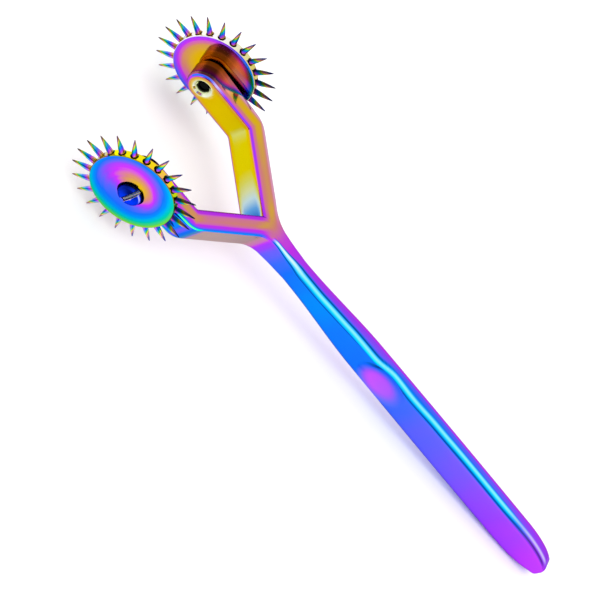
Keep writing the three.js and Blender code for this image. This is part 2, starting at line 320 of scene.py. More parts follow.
def ring(outer, outer_way, inner, inner_way, radius):
    """A cross-section with rounded corners between two edges of the plan outline.

    Each edge is a point and the way in from it. The ring runs from the bottom up the outer face,
    over the top, down the inner face and back along the bottom."""

    def arc(place, way, start, sign):
        height = half_height(place.x)
        rise = math.copysign(height - radius, math.sin(start + QUARTER / 2))
        points = []
        for i in range(CORNER_STEPS + 1):
            angle = start + QUARTER * i / CORNER_STEPS
            inset = radius * (1 - sign * math.cos(angle))
            point = place + way * inset
            point.z = rise + radius * math.sin(angle)
            points.append(point)
        return points

    def flat(start, end, steps):
        return [start.lerp(end, i / steps) for i in range(1, steps)]

    arcs = [
        arc(outer, outer_way, -QUARTER, 1),
        arc(outer, outer_way, 0, 1),
        arc(inner, inner_way, QUARTER, -1),
        arc(inner, inner_way, 2 * QUARTER, -1),
    ]
    points = []
    for i, steps in enumerate((FACE_STEPS, TOP_STEPS, FACE_STEPS, TOP_STEPS)):
        points += arcs[i]
        points += flat(arcs[i][-1], arcs[(i + 1) % 4][0], steps)
    return points


def handle_ring(x):
    """The handle's cross-section at a distance from the butt, drawn in at the very end."""
    reach = max(0, BUTT_ROUNDING - x)
    draw_in = BUTT_ROUNDING - math.sqrt(BUTT_ROUNDING ** 2 - reach ** 2)
    half_width = BAR_THICKNESS / 2 - draw_in
    left = Vector((x, half_width, 0))
    right = Vector((x, -half_width, 0))
    return ring(left, Vector((0, -1, 0)), right, Vector((0, 1, 0)), handle_edge_radius(x))


def handle_stations():
    """Distances from the butt at which the handle has a ring, closest at the nose."""
    stations = []
    for i in range(NOSE_STEPS):
        stations.append(NOSE_LENGTH * (1 - math.cos(QUARTER * i / NOSE_STEPS)))
    stretches = (
        (NOSE_LENGTH, GRIP_LENGTH, GRIP_STEPS),
        (GRIP_LENGTH, NECK_END, NECK_STEPS),
        (NECK_END, FLARE_START, FLARE_STEPS),
        (FLARE_START, FORK_START, FLARE_STEPS),
    )
    for start, end, steps in stretches:
        stations += [start + (end - start) * i / steps for i in range(steps)]
    stations.append(FORK_START)
    return stations


def arm_rings():
    """Rings along the left arm: round the crotch, up the slant, round the bend and to the pivot."""
    rings = []
    for i in range(CROTCH_STEPS + 1):
        share = i / CROTCH_STEPS
        turn = ARM_ANGLE * share
        way_out = Vector((-math.sin(turn), math.cos(turn), 0))
        centre = Vector((FORK_START, FILLET_CENTRE_Y, 0))
        outer = centre - way_out * CROTCH_FILLET_RADIUS
        inner = Vector((CROTCH_X, 0, 0)) + ALONG_ARM * (FILLET_RUN * share)
        inner_way = OUT_OF_ARM if i else Vector((-1 / math.sin(ARM_ANGLE), 0, 0))
        rings.append(ring(outer, -way_out, inner, inner_way, ARM_EDGE_RADIUS))

    centre = Vector((BEND_CENTRE_X, BEND_CENTRE_Y, 0))
    outer_radius = INNER_BEND_RADIUS + BAR_THICKNESS
    crotch_end = Vector((CROTCH_X, 0, 0)) + ALONG_ARM * FILLET_RUN
    bend_start = centre + OUT_OF_ARM * INNER_BEND_RADIUS
    for i in range(1, ARM_STEPS):
        inner = crotch_end.lerp(bend_start, i / ARM_STEPS)
        outer = inner + OUT_OF_ARM * BAR_THICKNESS
        rings.append(ring(outer, -OUT_OF_ARM, inner, OUT_OF_ARM, ARM_EDGE_RADIUS))

    for i in range(BEND_STEPS + 1):
        turn = ARM_ANGLE * (1 - i / BEND_STEPS)
        way_out = Vector((-math.sin(turn), math.cos(turn), 0))
        outer = centre + way_out * outer_radius
        inner = centre + way_out * INNER_BEND_RADIUS
        rings.append(ring(outer, -way_out, inner, way_out, ARM_EDGE_RADIUS))

    for i in range(1, ARM_STEPS + 1):
        share = i / ARM_STEPS
        x = BEND_CENTRE_X + (PIVOT_X - BEND_CENTRE_X) * share
        thickness = BAR_THICKNESS + (EYE_THICKNESS - BAR_THICKNESS) * share
        outer = Vector((x, ARM_INNER + thickness, 0))
        inner = Vector((x, ARM_INNER, 0))
        rings.append(ring(outer, Vector((0, -1, 0)), inner, Vector((0, 1, 0)), ARM_EDGE_RADIUS))
    return rings


def eye_rows(last_ring):
    """The upper half of the arm's last ring, turned about the pivot down to the lower half."""
    first = CORNER_STEPS + FACE_STEPS // 2
    last = 3 * CORNER_STEPS + FACE_STEPS + TOP_STEPS + FACE_STEPS // 2
    profile = last_ring[first:last + 1]
    rows = []
    for i in range(EYE_STEPS + 1):
        angle = math.pi * i / EYE_STEPS
        rows.append([
            Vector((PIVOT_X + point.z * math.sin(angle), point.y, point.z * math.cos(angle)))
            for point in profile
        ])
    return rows


def crotch_patch(first_ring, sign):
    """The top or the bottom between the handle's end and the two arms: rows that close to a point."""
    top = 2 * CORNER_STEPS + FACE_STEPS
    bottom = 4 * CORNER_STEPS + 2 * FACE_STEPS + TOP_STEPS
    if sign > 0:
        line = first_ring[top:top + TOP_STEPS + 1]
    else:
        line = (first_ring[bottom:] + first_ring[:1])[::-1]
    rows = []
    for i, point in enumerate(line):
        opposite = Vector((point.x, -point.y, point.z))
        steps = max(1, TOP_STEPS - i)
        rows.append([point.lerp(opposite, k / steps) for k in range(steps + 1)])
    return rows


def frame_skin():
    """One closed skin: handle, crotch, two arms and their eyes."""
    points = []
    faces = []

    def add_rows(rows, closed):
        start = len(points)
        width = len(rows[0])
        for row in rows:
            points.extend(row)
        for i in range(len(rows) - 1):
            for k in range(width if closed else width - 1):
                a = start + i * width + k
                b = start + i * width + (k + 1) % width
                faces.append((a, b, b + width, a + width))

    def add_patch(rows):
        starts = []
        for row in rows:
            starts.append(len(points))
            points.extend(row)
        for i in range(TOP_STEPS):
            for k in range(TOP_STEPS - i):
                faces.append((starts[i] + k, starts[i] + k + 1, starts[i + 1] + k))
                if k:
                    faces.append((starts[i] + k, starts[i + 1] + k, starts[i + 1] + k - 1))

    def mirrored(rows):
        return [[Vector((p.x, -p.y, p.z)) for p in row] for row in rows]

    handle = [handle_ring(x) for x in handle_stations()]
    add_rows(handle, closed=True)
    points.extend(handle[0])
    faces.append(tuple(range(len(points) - len(handle[0]), len(points))))

    arm = arm_rings()
    eye = eye_rows(arm[-1])
    for rows, closed in ((arm, True), (eye, False)):
        add_rows(rows, closed)
        add_rows(mirrored(rows), closed)
    for sign in (1, -1):
        add_patch(crotch_patch(arm[0], sign))

    skin = object_from("coated_frame", points, faces)
    weld(skin)
    return skin


def pivot_hole(side):
    """The tool that bores an arm's eye and countersinks its inner face."""
    flare = CUT_OVERRUN * (COUNTERSINK_RADIUS - HOLE_RADIUS) / COUNTERSINK_DEPTH
    outline = [
        (0, ARM_INNER - CUT_OVERRUN),
        (COUNTERSINK_RADIUS + flare, ARM_INNER - CUT_OVERRUN),
        (HOLE_RADIUS, ARM_INNER + COUNTERSINK_DEPTH),
        (HOLE_RADIUS, ARM_OUTER + CUT_OVERRUN),
        (0, ARM_OUTER + CUT_OVERRUN),
    ]
    return turned("hole tool", outline, ROUND_STEPS, side)


def finger_dent(side):
    """The tool that scoops the oval dent out of a broad side."""
    half_length = DENT_LENGTH / 2
    ball_radius = (half_length ** 2 + DENT_DEPTH ** 2) / (2 * DENT_DEPTH)
    tool = object_from("dent tool", [], [])
    bm = bmesh.new()
    bmesh.ops.create_uvsphere(bm, u_segments=ROUND_STEPS, v_segments=2 * ROUND_STEPS, radius=ball_radius)
    shape = Matrix.Diagonal((1, 1, DENT_HEIGHT / DENT_LENGTH, 1))
    place = Matrix.Translation((DENT_X, side * (BAR_THICKNESS / 2 + ball_radius - DENT_DEPTH), 0))
    bm.transform(place @ shape @ Matrix.Rotation(QUARTER, 4, "X"))
    bm.to_mesh(tool.data)
    bm.free()
    return tool


def make_frame():
    """The forged handle and fork, bored for the screws and dented for the fingers."""
    body = frame_skin()
    for side in SIDES.values():
        cut(body, pivot_hole(side))
        cut(body, finger_dent(side))
    polish(body)
    return body


# Nodes: a small way to lay them

def feed(tree, socket, value):
    """Links a socket to another one, or sets it to a plain value."""
    if isinstance(value, bpy.types.NodeSocket):
        tree.links.new(value, socket)
    else:
        socket.default_value = value


def math_node(tree, operation, first, second, clamp=False):
    """Arithmetic on two numbers or sockets, as the socket of its result."""
    made = tree.nodes.new("ShaderNodeMath")
    made.operation = operation
    made.use_clamp = clamp
    feed(tree, made.inputs[0], first)
    feed(tree, made.inputs[1], second)
    return made.outputs[0]


class NodeLayout:
    """A Geometry Nodes tree in the making, with its named inputs."""

    def __init__(self, name, takes_geometry):
        self.tree = bpy.data.node_groups.new(name, "GeometryNodeTree")
        sockets = self.tree.interface
        self.identifiers = {}
        if takes_geometry:
            sockets.new_socket("Geometry", in_out="INPUT", socket_type="NodeSocketGeometry")
        sockets.new_socket("Geometry", in_out="OUTPUT", socket_type="NodeSocketGeometry")
        self.inputs = self.tree.nodes.new("NodeGroupInput")
        self.outputs = self.tree.nodes.new("NodeGroupOutput")

    def value(self, name, default=None):
        """A named input of the tree, as the socket that the nodes read. A material has no default."""
        kind = {int: "Int", float: "Float", tuple: "Vector"}.get(type(default), "Material")
        socket = self.tree.interface.new_socket(name, in_out="INPUT", socket_type=f"NodeSocket{kind}")
        if default is not None:
            socket.default_value = default
        self.identifiers[name] = socket.identifier
        return self.inputs.outputs[name]

    def node(self, kind, settings=None, **links):
        """A node with its settings, its inputs linked to sockets or set to values."""
        made = self.tree.nodes.new(kind)
        for key, value in (settings or {}).items():
            setattr(made, key, value)
        for key, value in links.items():
            self.feed(made.inputs[key.replace("_", " ")], value)
        return made

    def feed(self, socket, value):
        feed(self.tree, socket, value)

    def math(self, operation, first, second):
        return math_node(self.tree, operation, first, second)

    def vector(self, x=0.0, y=0.0, z=0.0):
        return self.node("ShaderNodeCombineXYZ", X=x, Y=y, Z=z).outputs[0]

    def placed(self, geometry, place, rotation):
        """A shape turned and then moved to its place."""
        return self.node(
            "GeometryNodeTransform", Geometry=geometry, Translation=place, Rotation=rotation,
        ).outputs[0]

    def joined(self, *shapes):
        join = self.node("GeometryNodeJoinGeometry")
        for shape in shapes:
            self.feed(join.inputs[0], shape)
        return join.outputs[0]

    def finish(self, geometry, material):
        """Ends the tree in Realize Instances and Set Material."""
        real = self.node("GeometryNodeRealizeInstances", Geometry=geometry)
        painted = self.node("GeometryNodeSetMaterial", Geometry=real.outputs[0], Material=material)
        self.feed(self.outputs.inputs[0], painted.outputs[0])

    def grow(self, obj, **sizes):
        """Runs the tree on an object with its sizes, and keeps the result as its mesh."""
        modifier = obj.modifiers.new(self.tree.name, "NODES")
        modifier.node_group = self.tree
        for name, value in sizes.items():
            modifier[self.identifiers[name.replace("_", " ")]] = value
        bake_modifiers(obj)


def turned_about_wheel(layout, geometry, count, first_angle, centre):
    """Copies of a shape that lies along -X, spread evenly about the wheel's axis."""
    points = layout.node("GeometryNodePoints", Count=count, Position=centre).outputs[0]
    index = layout.node("GeometryNodeInputIndex").outputs[0]
    step = layout.math("DIVIDE", 2 * math.pi, count)
    angle = layout.math("ADD", layout.math("MULTIPLY", index, step), first_angle)
    spin = layout.node("FunctionNodeEulerToRotation", Euler=layout.vector(y=angle)).outputs[0]
    return layout.node(
        "GeometryNodeInstanceOnPoints", Points=points, Instance=geometry, Rotation=spin,
    ).outputs[0]


def spike_tree():
    """A ring of pressed-in spikes, each a swelling cone on a plain shank."""
    lay = NodeLayout("pressed spikes", takes_geometry=False)
    count = lay.value("Count", SPIKE_COUNT)
    first_angle = lay.value("First Angle", 0.0)
    centre = lay.value("Wheel Centre", (PIVOT_X, 0, 0))
    seat = lay.value("Seat Circle", DISC_RADIUS)
    tip = lay.value("Tip Circle", SPIKE_TIP_CIRCLE)
    base_radius = lay.value("Base Radius", SPIKE_BASE_RADIUS)
    tip_radius = lay.value("Tip Radius", SPIKE_TIP_RADIUS)
    swell = lay.value("Swell", SPIKE_SWELL_SHARE)
    shank_radius = lay.value("Shank Radius", SPIKE_SHANK_RADIUS)
    shank_length = lay.value("Shank Length", SPIKE_SHANK_LENGTH)
    material = lay.value("Material")

    start = lay.vector(x=lay.math("MULTIPLY", seat, -1.0))
    end = lay.vector(x=lay.math("MULTIPLY", tip, -1.0))
    line = lay.node("GeometryNodeCurvePrimitiveLine", Start=start, End=end).outputs[0]
    line = lay.node("GeometryNodeResampleCurve", Curve=line, Count=SPIKE_LENGTH_STEPS + 1).outputs[0]
    share = lay.node("GeometryNodeSplineParameter").outputs["Factor"]
    fall = lay.math("SUBTRACT", 1.0, lay.math("POWER", share, swell))
    taper = lay.math("MULTIPLY", lay.math("SUBTRACT", base_radius, tip_radius), fall)
    radius = lay.math("ADD", tip_radius, taper)
    section = lay.node("GeometryNodeCurvePrimitiveCircle", Resolution=SPIKE_ROUND_STEPS, Radius=1.0)
    cone = lay.node(
        "GeometryNodeCurveToMesh",
        Curve=line, Profile_Curve=section.outputs[0], Scale=radius, Fill_Caps=True,
    ).outputs[0]

    shank = lay.node(
        "GeometryNodeMeshCylinder", Vertices=SPIKE_ROUND_STEPS, Radius=shank_radius, Depth=shank_length,
    ).outputs[0]
    half = lay.math("MULTIPLY", shank_length, 0.5)
    shank_place = lay.vector(x=lay.math("SUBTRACT", half, seat))
    spike = lay.joined(cone, lay.placed(shank, shank_place, (0, QUARTER, 0)))
    lay.finish(turned_about_wheel(lay, spike, count, first_angle, centre), material)
    return lay


def seat_tree():
    """Drills and countersinks the rim of a disc for its spikes."""
    lay = NodeLayout("spike seats", takes_geometry=True)
    count = lay.value("Count", SPIKE_COUNT)
    first_angle = lay.value("First Angle", 0.0)
    centre = lay.value("Wheel Centre", (PIVOT_X, 0, 0))
    rim = lay.value("Rim Radius", DISC_RADIUS)
    drill_radius = lay.value("Drill Radius", SPIKE_SHANK_RADIUS)
    drill_depth = lay.value("Drill Depth", SPIKE_SHANK_LENGTH)
    sink_radius = lay.value("Countersink Radius", SPIKE_SEAT_RADIUS)
    sink_depth = lay.value("Countersink Depth", SPIKE_SEAT_DEPTH)
    material = lay.value("Material")

    turn = (0, -QUARTER, 0)
    drill = lay.node(
        "GeometryNodeMeshCylinder", Vertices=SPIKE_ROUND_STEPS, Radius=drill_radius, Depth=drill_depth,
    ).outputs[0]
    drill_x = lay.math("SUBTRACT", lay.math("MULTIPLY", drill_depth, 0.5), rim)
    drill = lay.placed(drill, lay.vector(x=drill_x), turn)
    slope = lay.math("DIVIDE", lay.math("SUBTRACT", sink_radius, drill_radius), sink_depth)
    mouth = lay.math("ADD", sink_radius, lay.math("MULTIPLY", slope, sink_depth))
    sink = lay.node(
        "GeometryNodeMeshCone", Vertices=SPIKE_ROUND_STEPS, Radius_Top=mouth, Radius_Bottom=drill_radius,
        Depth=lay.math("MULTIPLY", sink_depth, 2.0),
    ).outputs[0]
    sink = lay.placed(sink, lay.vector(x=lay.math("SUBTRACT", sink_depth, rim)), turn)

    cuts = []
    for tool in (sink, drill):
        copies = turned_about_wheel(lay, tool, count, first_angle, centre)
        cuts.append(lay.node("GeometryNodeRealizeInstances", Geometry=copies).outputs[0])
    rest = lay.inputs.outputs["Geometry"]
    for tool in cuts:
        made = lay.node("GeometryNodeMeshBoolean", {"operation": "DIFFERENCE", "solver": "EXACT"})
        lay.feed(made.inputs["Mesh 1"], rest)
        lay.feed(made.inputs["Mesh 2"], tool)
        rest = made.outputs["Mesh"]
    lay.finish(rest, material)
    return lay


def thread_tree():
    """The ridge of a screw thread, wound on the wall of a hole about the Y axis."""
    lay = NodeLayout("hole thread", takes_geometry=False)
    radius = lay.value("Hole Radius", HOLE_RADIUS)
    pitch = lay.value("Pitch", THREAD_PITCH)
    turns = lay.value("Turns", THREAD_TURNS)
    height = lay.value("Ridge Height", THREAD_HEIGHT)
    start = lay.value("Start", ARM_INNER)
    pivot = lay.value("Pivot X", PIVOT_X)
    material = lay.value("Material")

    helix = lay.node(
        "GeometryNodeCurveSpiral", Resolution=THREAD_STEPS, Rotations=turns,
        Start_Radius=radius, End_Radius=radius, Height=lay.math("MULTIPLY", pitch, turns),
    ).outputs[0]
    section = lay.node(
        "GeometryNodeCurvePrimitiveCircle", Resolution=THREAD_ROUND_STEPS, Radius=height,
    ).outputs[0]
    ridge = lay.node(
        "GeometryNodeCurveToMesh", Curve=helix, Profile_Curve=section, Fill_Caps=True,
    ).outputs[0]
    ridges = []
    for side in SIDES.values():
        place = lay.vector(x=pivot, y=lay.math("MULTIPLY", start, side))
        ridges.append(lay.placed(ridge, place, (-side * QUARTER, 0, 0)))
    lay.finish(lay.joined(*ridges), material)
    return lay


def make_threads(material):
    """The thread ridges of both holes, as one piece."""
    threads = object_from("hole_threads", [], [])
    thread_tree().grow(
        threads,
        Hole_Radius=HOLE_RADIUS,
        Pitch=THREAD_PITCH,
        Turns=THREAD_TURNS,
        Ridge_Height=THREAD_HEIGHT,
        Start=ARM_INNER + COUNTERSINK_DEPTH,
        Pivot_X=PIVOT_X,
        Material=material,
    )
    weld(threads)
    polish(threads)
    return threads


# Wheels

def disc_outline():
    """A disc's half section: bore, inner face, rim, domed outer face, hub rim and counterbore."""
    band = DISC_RADIUS - DISC_EDGE_RADIUS
    rim = COUNTERBORE_RADIUS + HUB_RIM_RADIUS
    inner_face = []
    outer_face = []
    for i in range(1, DISC_FACE_STEPS):
        share = i / DISC_FACE_STEPS
        inner_face.append((DISC_BORE_RADIUS + (band - DISC_BORE_RADIUS) * share, DISC_INNER))
        outer_face.append((band + (rim - band) * share, DISC_OUTER + HUB_RISE * math.sin(QUARTER * share)))
    return [
        (DISC_BORE_RADIUS, DISC_INNER),
        *inner_face,
        *corner(band, DISC_INNER + DISC_EDGE_RADIUS, DISC_EDGE_RADIUS, -QUARTER, 0),
        *corner(band, DISC_OUTER - DISC_EDGE_RADIUS, DISC_EDGE_RADIUS, 0, QUARTER),
        *outer_face,
        *corner(rim, HUB_RIM - HUB_RIM_RADIUS, HUB_RIM_RADIUS, QUARTER, 2 * QUARTER),
        (COUNTERBORE_RADIUS, HUB_RIM - COUNTERBORE_DEPTH),
        (DISC_BORE_RADIUS, HUB_RIM - COUNTERBORE_DEPTH),
    ]


def make_disc(name, side, turn, seats, material):
    """A turned disc with a drilled and countersunk seat for each spike."""
    disc = turned(f"{name}_coated_disc", disc_outline(), DISC_STEPS, side)
    seats.grow(
        disc,
        Count=SPIKE_COUNT,
        First_Angle=turn,
        Wheel_Centre=(PIVOT_X, side * RIM_MIDDLE, 0),
        Rim_Radius=DISC_RADIUS,
        Drill_Radius=SPIKE_SHANK_RADIUS + SEAT_GAP,
        Drill_Depth=SPIKE_SEAT_DEPTH + SPIKE_SHANK_LENGTH + SEAT_GAP,
        Countersink_Radius=SPIKE_SEAT_RADIUS,
        Countersink_Depth=SPIKE_SEAT_DEPTH,
        Material=material,
    )
    weld(disc)
    polish(disc)
    return disc


def make_spikes(name, side, turn, tree, material):
    """A wheel's ring of spikes, standing in their seats."""
    spikes = object_from(f"{name}_coated_spikes", [], [])
    tree.grow(
        spikes,
        Count=SPIKE_COUNT,
        First_Angle=turn,
        Wheel_Centre=(PIVOT_X, side * RIM_MIDDLE, 0),
        Seat_Circle=DISC_RADIUS - SPIKE_SEAT_DEPTH + SEAT_GAP,
        Tip_Circle=SPIKE_TIP_CIRCLE,
        Material=material,
    )
    weld(spikes)
    polish(spikes)
    return spikes


# Pivot screws

def screw_outline():
    """A screw's half section: shank, shoulder, head and its crown."""
    head_top = HUB_RIM + HEAD_STAND_OUT
    head_floor = HUB_RIM - COUNTERBORE_DEPTH + SEAT_GAP
    face_radius = HEAD_RADIUS - HEAD_EDGE_RADIUS
    crown = []
    for i in range(1, DISC_CORNER_STEPS + 1):
        share = 1 - i / DISC_CORNER_STEPS
        crown.append((face_radius * share, head_top - HEAD_CROWN * share ** 2))
    shoulder = DISC_BORE_RADIUS - SEAT_GAP
    thread = HOLE_RADIUS - SEAT_GAP
    end = ARM_INNER + SCREW_END_RECESS
    edge_height = head_top - HEAD_CROWN - HEAD_EDGE_RADIUS
    return [
        (0, end),
        (thread - SCREW_END_CHAMFER, end),
        (thread, end + SCREW_END_CHAMFER),
        (thread, ARM_OUTER + SEAT_GAP),
        (shoulder, ARM_OUTER + SEAT_GAP),
        (shoulder, head_floor),
        (HEAD_RADIUS, head_floor),
        *corner(face_radius, edge_height, HEAD_EDGE_RADIUS, 0, QUARTER),
        *crown,
    ]


def screw_slot(side):
    """The tool that saws the driver's slot across the head."""
    head_top = HUB_RIM + HEAD_STAND_OUT
    tool = object_from("slot tool", [], [])
    bm = bmesh.new()
    bmesh.ops.create_cube(bm, size=1)
    height = SLOT_DEPTH + CUT_OVERRUN
    size = Matrix.Diagonal((SLOT_WIDTH, height, 2 * (HEAD_RADIUS + CUT_OVERRUN), 1))
    place = Matrix.Translation((PIVOT_X, side * (head_top - SLOT_DEPTH + height / 2), 0))
    bm.transform(place @ size)
    bm.to_mesh(tool.data)
    bm.free()
    return tool


def make_screw(name, side):
    """A slotted shoulder screw with the sharp edges of its slot broken."""
    screw = turned(f"{name}_coated_screw", screw_outline(), ROUND_STEPS, side)
    cut(screw, screw_slot(side))
    weld(screw)
    broken_edge = screw.modifiers.new("broken edges", "BEVEL")
    broken_edge.width = SLOT_BREAK
    broken_edge.segments = SLOT_BREAK_STEPS
    broken_edge.limit_method = "ANGLE"
    broken_edge.angle_limit = SLOT_BREAK_ANGLE
    bake_modifiers(screw)
    polish(screw)
    return screw


# Film: at each point a share along the rainbow, a tone and a gleam. The tone is painted light and
# shade: it pales the colour for painted highlights and pale reflections and darkens it for painted
# shade and dark reflections. The gleam is a painted highlight that lights the colour up where the
# polished edge would mirror a lamp. A table holds (place, value) stops. A glow, a shade or a rise is
# a middle, a width and, where it isn't 1, a height, and a fade is a start and an end. Places along
# the handle are in millimetres from the butt, places on a wheel in millimetres from the pivot, and
# angles in degrees.

# The film layer is the coating's colour; the tone and gleam layers are painted light and shade.
FILM_LAYERS = ("film", "tone", "gleam")


def coat(obj, rule):
    """Lays film and painted light on an object: rule(place, normal) gives share, tone and gleam per point.
    """
    mesh = obj.data
    for name in FILM_LAYERS:
        mesh.attributes.new(name, "FLOAT", "POINT")
    layers = [mesh.attributes[name].data for name in FILM_LAYERS]
    for vertex in mesh.vertices:
        for layer, value in zip(layers, rule(vertex.co, vertex.normal)):
            layer[vertex.index].value = value


def mixed(first, second, share):
    """One film passing into another."""
    return tuple(a + (b - a) * share for a, b in zip(first, second))


def wheel_angle(place):
    """The place's angle about the pivot, from +X towards +Z."""
    return math.degrees(math.atan2(place.z, place.x - PIVOT_X))


def pivot_distance(place):
    """The place's distance from the pivot's axis in millimetres."""
    return math.hypot(place.x - PIVOT_X, place.z) / MM


# Film on the handle. Turns go round it: 0 is its left side, 90 its top or bottom and 180 its right
# side. The line is a painted highlight along the upper edge. Its stops and fades are turns from its
# middle, and LINE_TURNS says where that is.

HANDLE_SIDE_SHARES = (
    (5, 0.43), (14, 0.45), (26, 0.48), (40, 0.52), (54, 0.55), (64, 0.59), (80, 0.63), (90, 0.64),
    (100, 0.67), (108, 0.64), (114, 0.60), (118, 0.54), (120.5, 0.46), (122.5, 0.37),
)
HANDLE_TOP_SHARES = (
    (4, 0.47), (14, 0.49), (26, 0.55), (40, 0.60), (60, 0.62), (70, 0.60), (78, 0.51), (92, 0.49),
    (104, 0.46), (112, 0.43), (118, 0.39), (123, 0.31), (130, 0.20),
)
LEFT_TO_RIGHT_TURNS = (20, 84, 104, 138, 160)
FAR_EDGE_FALL_SHARE = 0.19
FAR_EDGE_LEAST_SHARE = 0.41
# Painted light on the handle's ground: a pale painted highlight on the far edge, and painted shade near
# the top at the neck.
FAR_EDGE_GLOW = (140, 14, 0.25)
RIDGE_SHADE = (96, 16, -0.1)
RIDGE_AT_NECK = (98, 20)

# The line is a painted highlight where the rounded upper edge would mirror a softbox, with painted dark
# reflections beside it.
LINE_TURNS = (
    (14, 66), (26, 61), (40, 61), (54, 57), (64, 50), (72, 56), (80, 30), (90, 36), (100, 40),
    (108, 45), (114, 53), (119, 57),
)
LINE_STRENGTHS = ((1, 0), (4, 1), (119.5, 1), (122, 0))
LINE_LOWER_FADE = (-42, -32)
LINE_UPPER_FADE = (30, 42)
LINE_SIDE_FADE = (2, 12)
LINE_TOP_FADE = (78, 90)
LINE_UNDERSIDE_FADE = (-2.5, 0)
LINE_SHARES = (
    (-32, 0.64), (-24, 0.66), (-14, 0.73), (3, 0.75), (14, 0.74), (22, 0.68), (30, 0.64),
)
LINE_TONES = ((-34, 0), (-27, -0.72), (-19, -0.1), (-6, 0.05), (2, 0.28), (10, 0.2), (18, 0))
LINE_GLEAMS = ((-22, 0), (-12, 0.7), (-2, 1), (8, 1), (16, 0.4), (22, 0))
UPPER_EDGE_TONES = ((18, 0), (26, -0.75), (34, 0))
UPPER_EDGE_FADE = (70, 82)
LINE_END_GLOW = (4, 16, 0.5)
LINE_END_FADE = (106, 116)
# Towards the butt the line becomes a paler painted highlight with painted shade below it.
BUTT_LINE_SHARE = 0.48
BUTT_LINE_GLOW = (2, 12, 0.5)
BUTT_LINE_SHADE = (-24, 8, -0.7)
BUTT_LINE_FADE = (8, 24)

DENT_FILM_BACK = 0.4
DENT_FILM_DOWN = 0.9
DENT_FILM_LENGTH_SHARE = 0.95
DENT_FILM_HEIGHT_SHARE = 0.8
DENT_FILM_FADE = (0.4, 1.1)
DENT_FILM_TURN_FADE = (18, 34)
DENT_FALL_SHARE = 0.18
DENT_SLOPE_SHARE = 0.07
# The dent is also painted a little paler, a faint painted highlight.
DENT_TONE = 0.05


def handle_ground(x, turn):
    """Blue broad sides, a violet top, a purple far edge with a painted highlight, and painted shade at the
    neck.
    """
    side_share = between(x, HANDLE_SIDE_SHARES)
    top_share = between(x, HANDLE_TOP_SHARES)
    far_share = min(top_share, max(top_share - FAR_EDGE_FALL_SHARE, FAR_EDGE_LEAST_SHARE))
    round_shares = (side_share, top_share, far_share, far_share, side_share)
    share = between(turn, tuple(zip(LEFT_TO_RIGHT_TURNS, round_shares)))
    tone = hill(turn, *FAR_EDGE_GLOW) + hill(turn, *RIDGE_SHADE) * hill(x, *RIDGE_AT_NECK)
    return share, tone, 0


def handle_line(x, off_line):
    """A painted highlight along the upper edge, painted dark below it and, past the dent, above it too."""
    tone = between(off_line, LINE_TONES)
    tone += ramp(x, *UPPER_EDGE_FADE) * between(off_line, UPPER_EDGE_TONES)
    tone += ramp(x, *LINE_END_FADE) * hill(off_line, *LINE_END_GLOW)
    line = (between(off_line, LINE_SHARES), tone, between(off_line, LINE_GLEAMS))
    butt_tone = hill(off_line, *BUTT_LINE_GLOW) + hill(off_line, *BUTT_LINE_SHADE)
    return mixed(line, (BUTT_LINE_SHARE, butt_tone, 0), 1 - ramp(x, *BUTT_LINE_FADE))


def handle_film(place, normal):
    """The handle's ground colours, the painted highlight line along its upper edge and the violet finger
    dent.
    """
    x = place.x / MM
    z = place.z / MM
    turn = math.degrees(math.atan2(abs(normal.z), normal.y))
    off_line = turn - between(x, LINE_TURNS)
    on_line = between(x, LINE_STRENGTHS) * min(
        ramp(off_line, *LINE_LOWER_FADE),
        1 - ramp(off_line, *LINE_UPPER_FADE),
        ramp(turn, *LINE_SIDE_FADE),
        1 - ramp(turn, *LINE_TOP_FADE),
        ramp(z, *LINE_UNDERSIDE_FADE),
    )
    share, tone, gleam = mixed(handle_ground(x, turn), handle_line(x, off_line), on_line)

    half_length = DENT_FILM_LENGTH_SHARE * DENT_LENGTH / 2 / MM
    half_oval = DENT_FILM_HEIGHT_SHARE * DENT_HEIGHT / 2 / MM
    along = (x - DENT_X / MM + DENT_FILM_BACK) / half_length
    from_middle = math.hypot(along, (z + DENT_FILM_DOWN) / half_oval)
    in_dent = (1 - ramp(from_middle, *DENT_FILM_FADE)) * (1 - ramp(turn, *DENT_FILM_TURN_FADE))
    share -= (DENT_FALL_SHARE + DENT_SLOPE_SHARE * along) * in_dent
    return share, tone + DENT_TONE * in_dent, gleam


# Film on the fork. A section goes round an arm: 0 is the middle of the outer face, 1 its edge,
# 2 the middle of the top or the bottom, 3 the inner edge and 4 the middle of the inner face.

FACE_END = 0.8
EDGE_END = 2 - FACE_END
FLAT_TURN = 0.02
EDGE_TURN = 0.87

INNER_FACE_SHARE = 0.05
CROTCH_DEPTH_SHARE = 1.7
CROTCH_LEAN_SHARE = 0.25
CROTCH_BOW_SHARE = 0.12
CROTCH_FALL_SHARE = 0.34
CROTCH_FADE_POWER = 1.3

RIGHT_TOP_SHARES = (
    (126, 0.17), (129, 0.23), (133, 0.23), (137, 0.19), (141, 0.14), (144, 0.12), (151, 0.14),
    (157, 0.27),
)
RIGHT_UPPER_EDGE_SHARES = ((128, 0.44), (134, 0.45), (141, 0.47), (145, 0.53))
RIGHT_LOWER_EDGE_SHARE = 0.44
RIGHT_INNER_RISE_SHARES = ((141, 0), (150, 0.03), (157, 0.06))
# Painted light on the right arm: a pale painted highlight along its outer edge, and by the wheel a top
# painted salmon as a reflection of the disc, with a painted gleam.
RIGHT_OUTER_EDGE_GLOW = (1.1, 0.2, 0.25)
RIGHT_TOP_REACH = (1.2, 2.6)
BY_WHEEL_FADE = (151, 154)
MIRRORED_DISC_SHARE = 0.28
MIRRORED_DISC_GLEAM = 0.5
BEND_LINE_GLOW = (142.8, 1.1, -0.06)
BEND_LINE_FADE = (2, 3.4)
BEND_LINE_SECTION = 3.2
BEND_LINE_END = 150

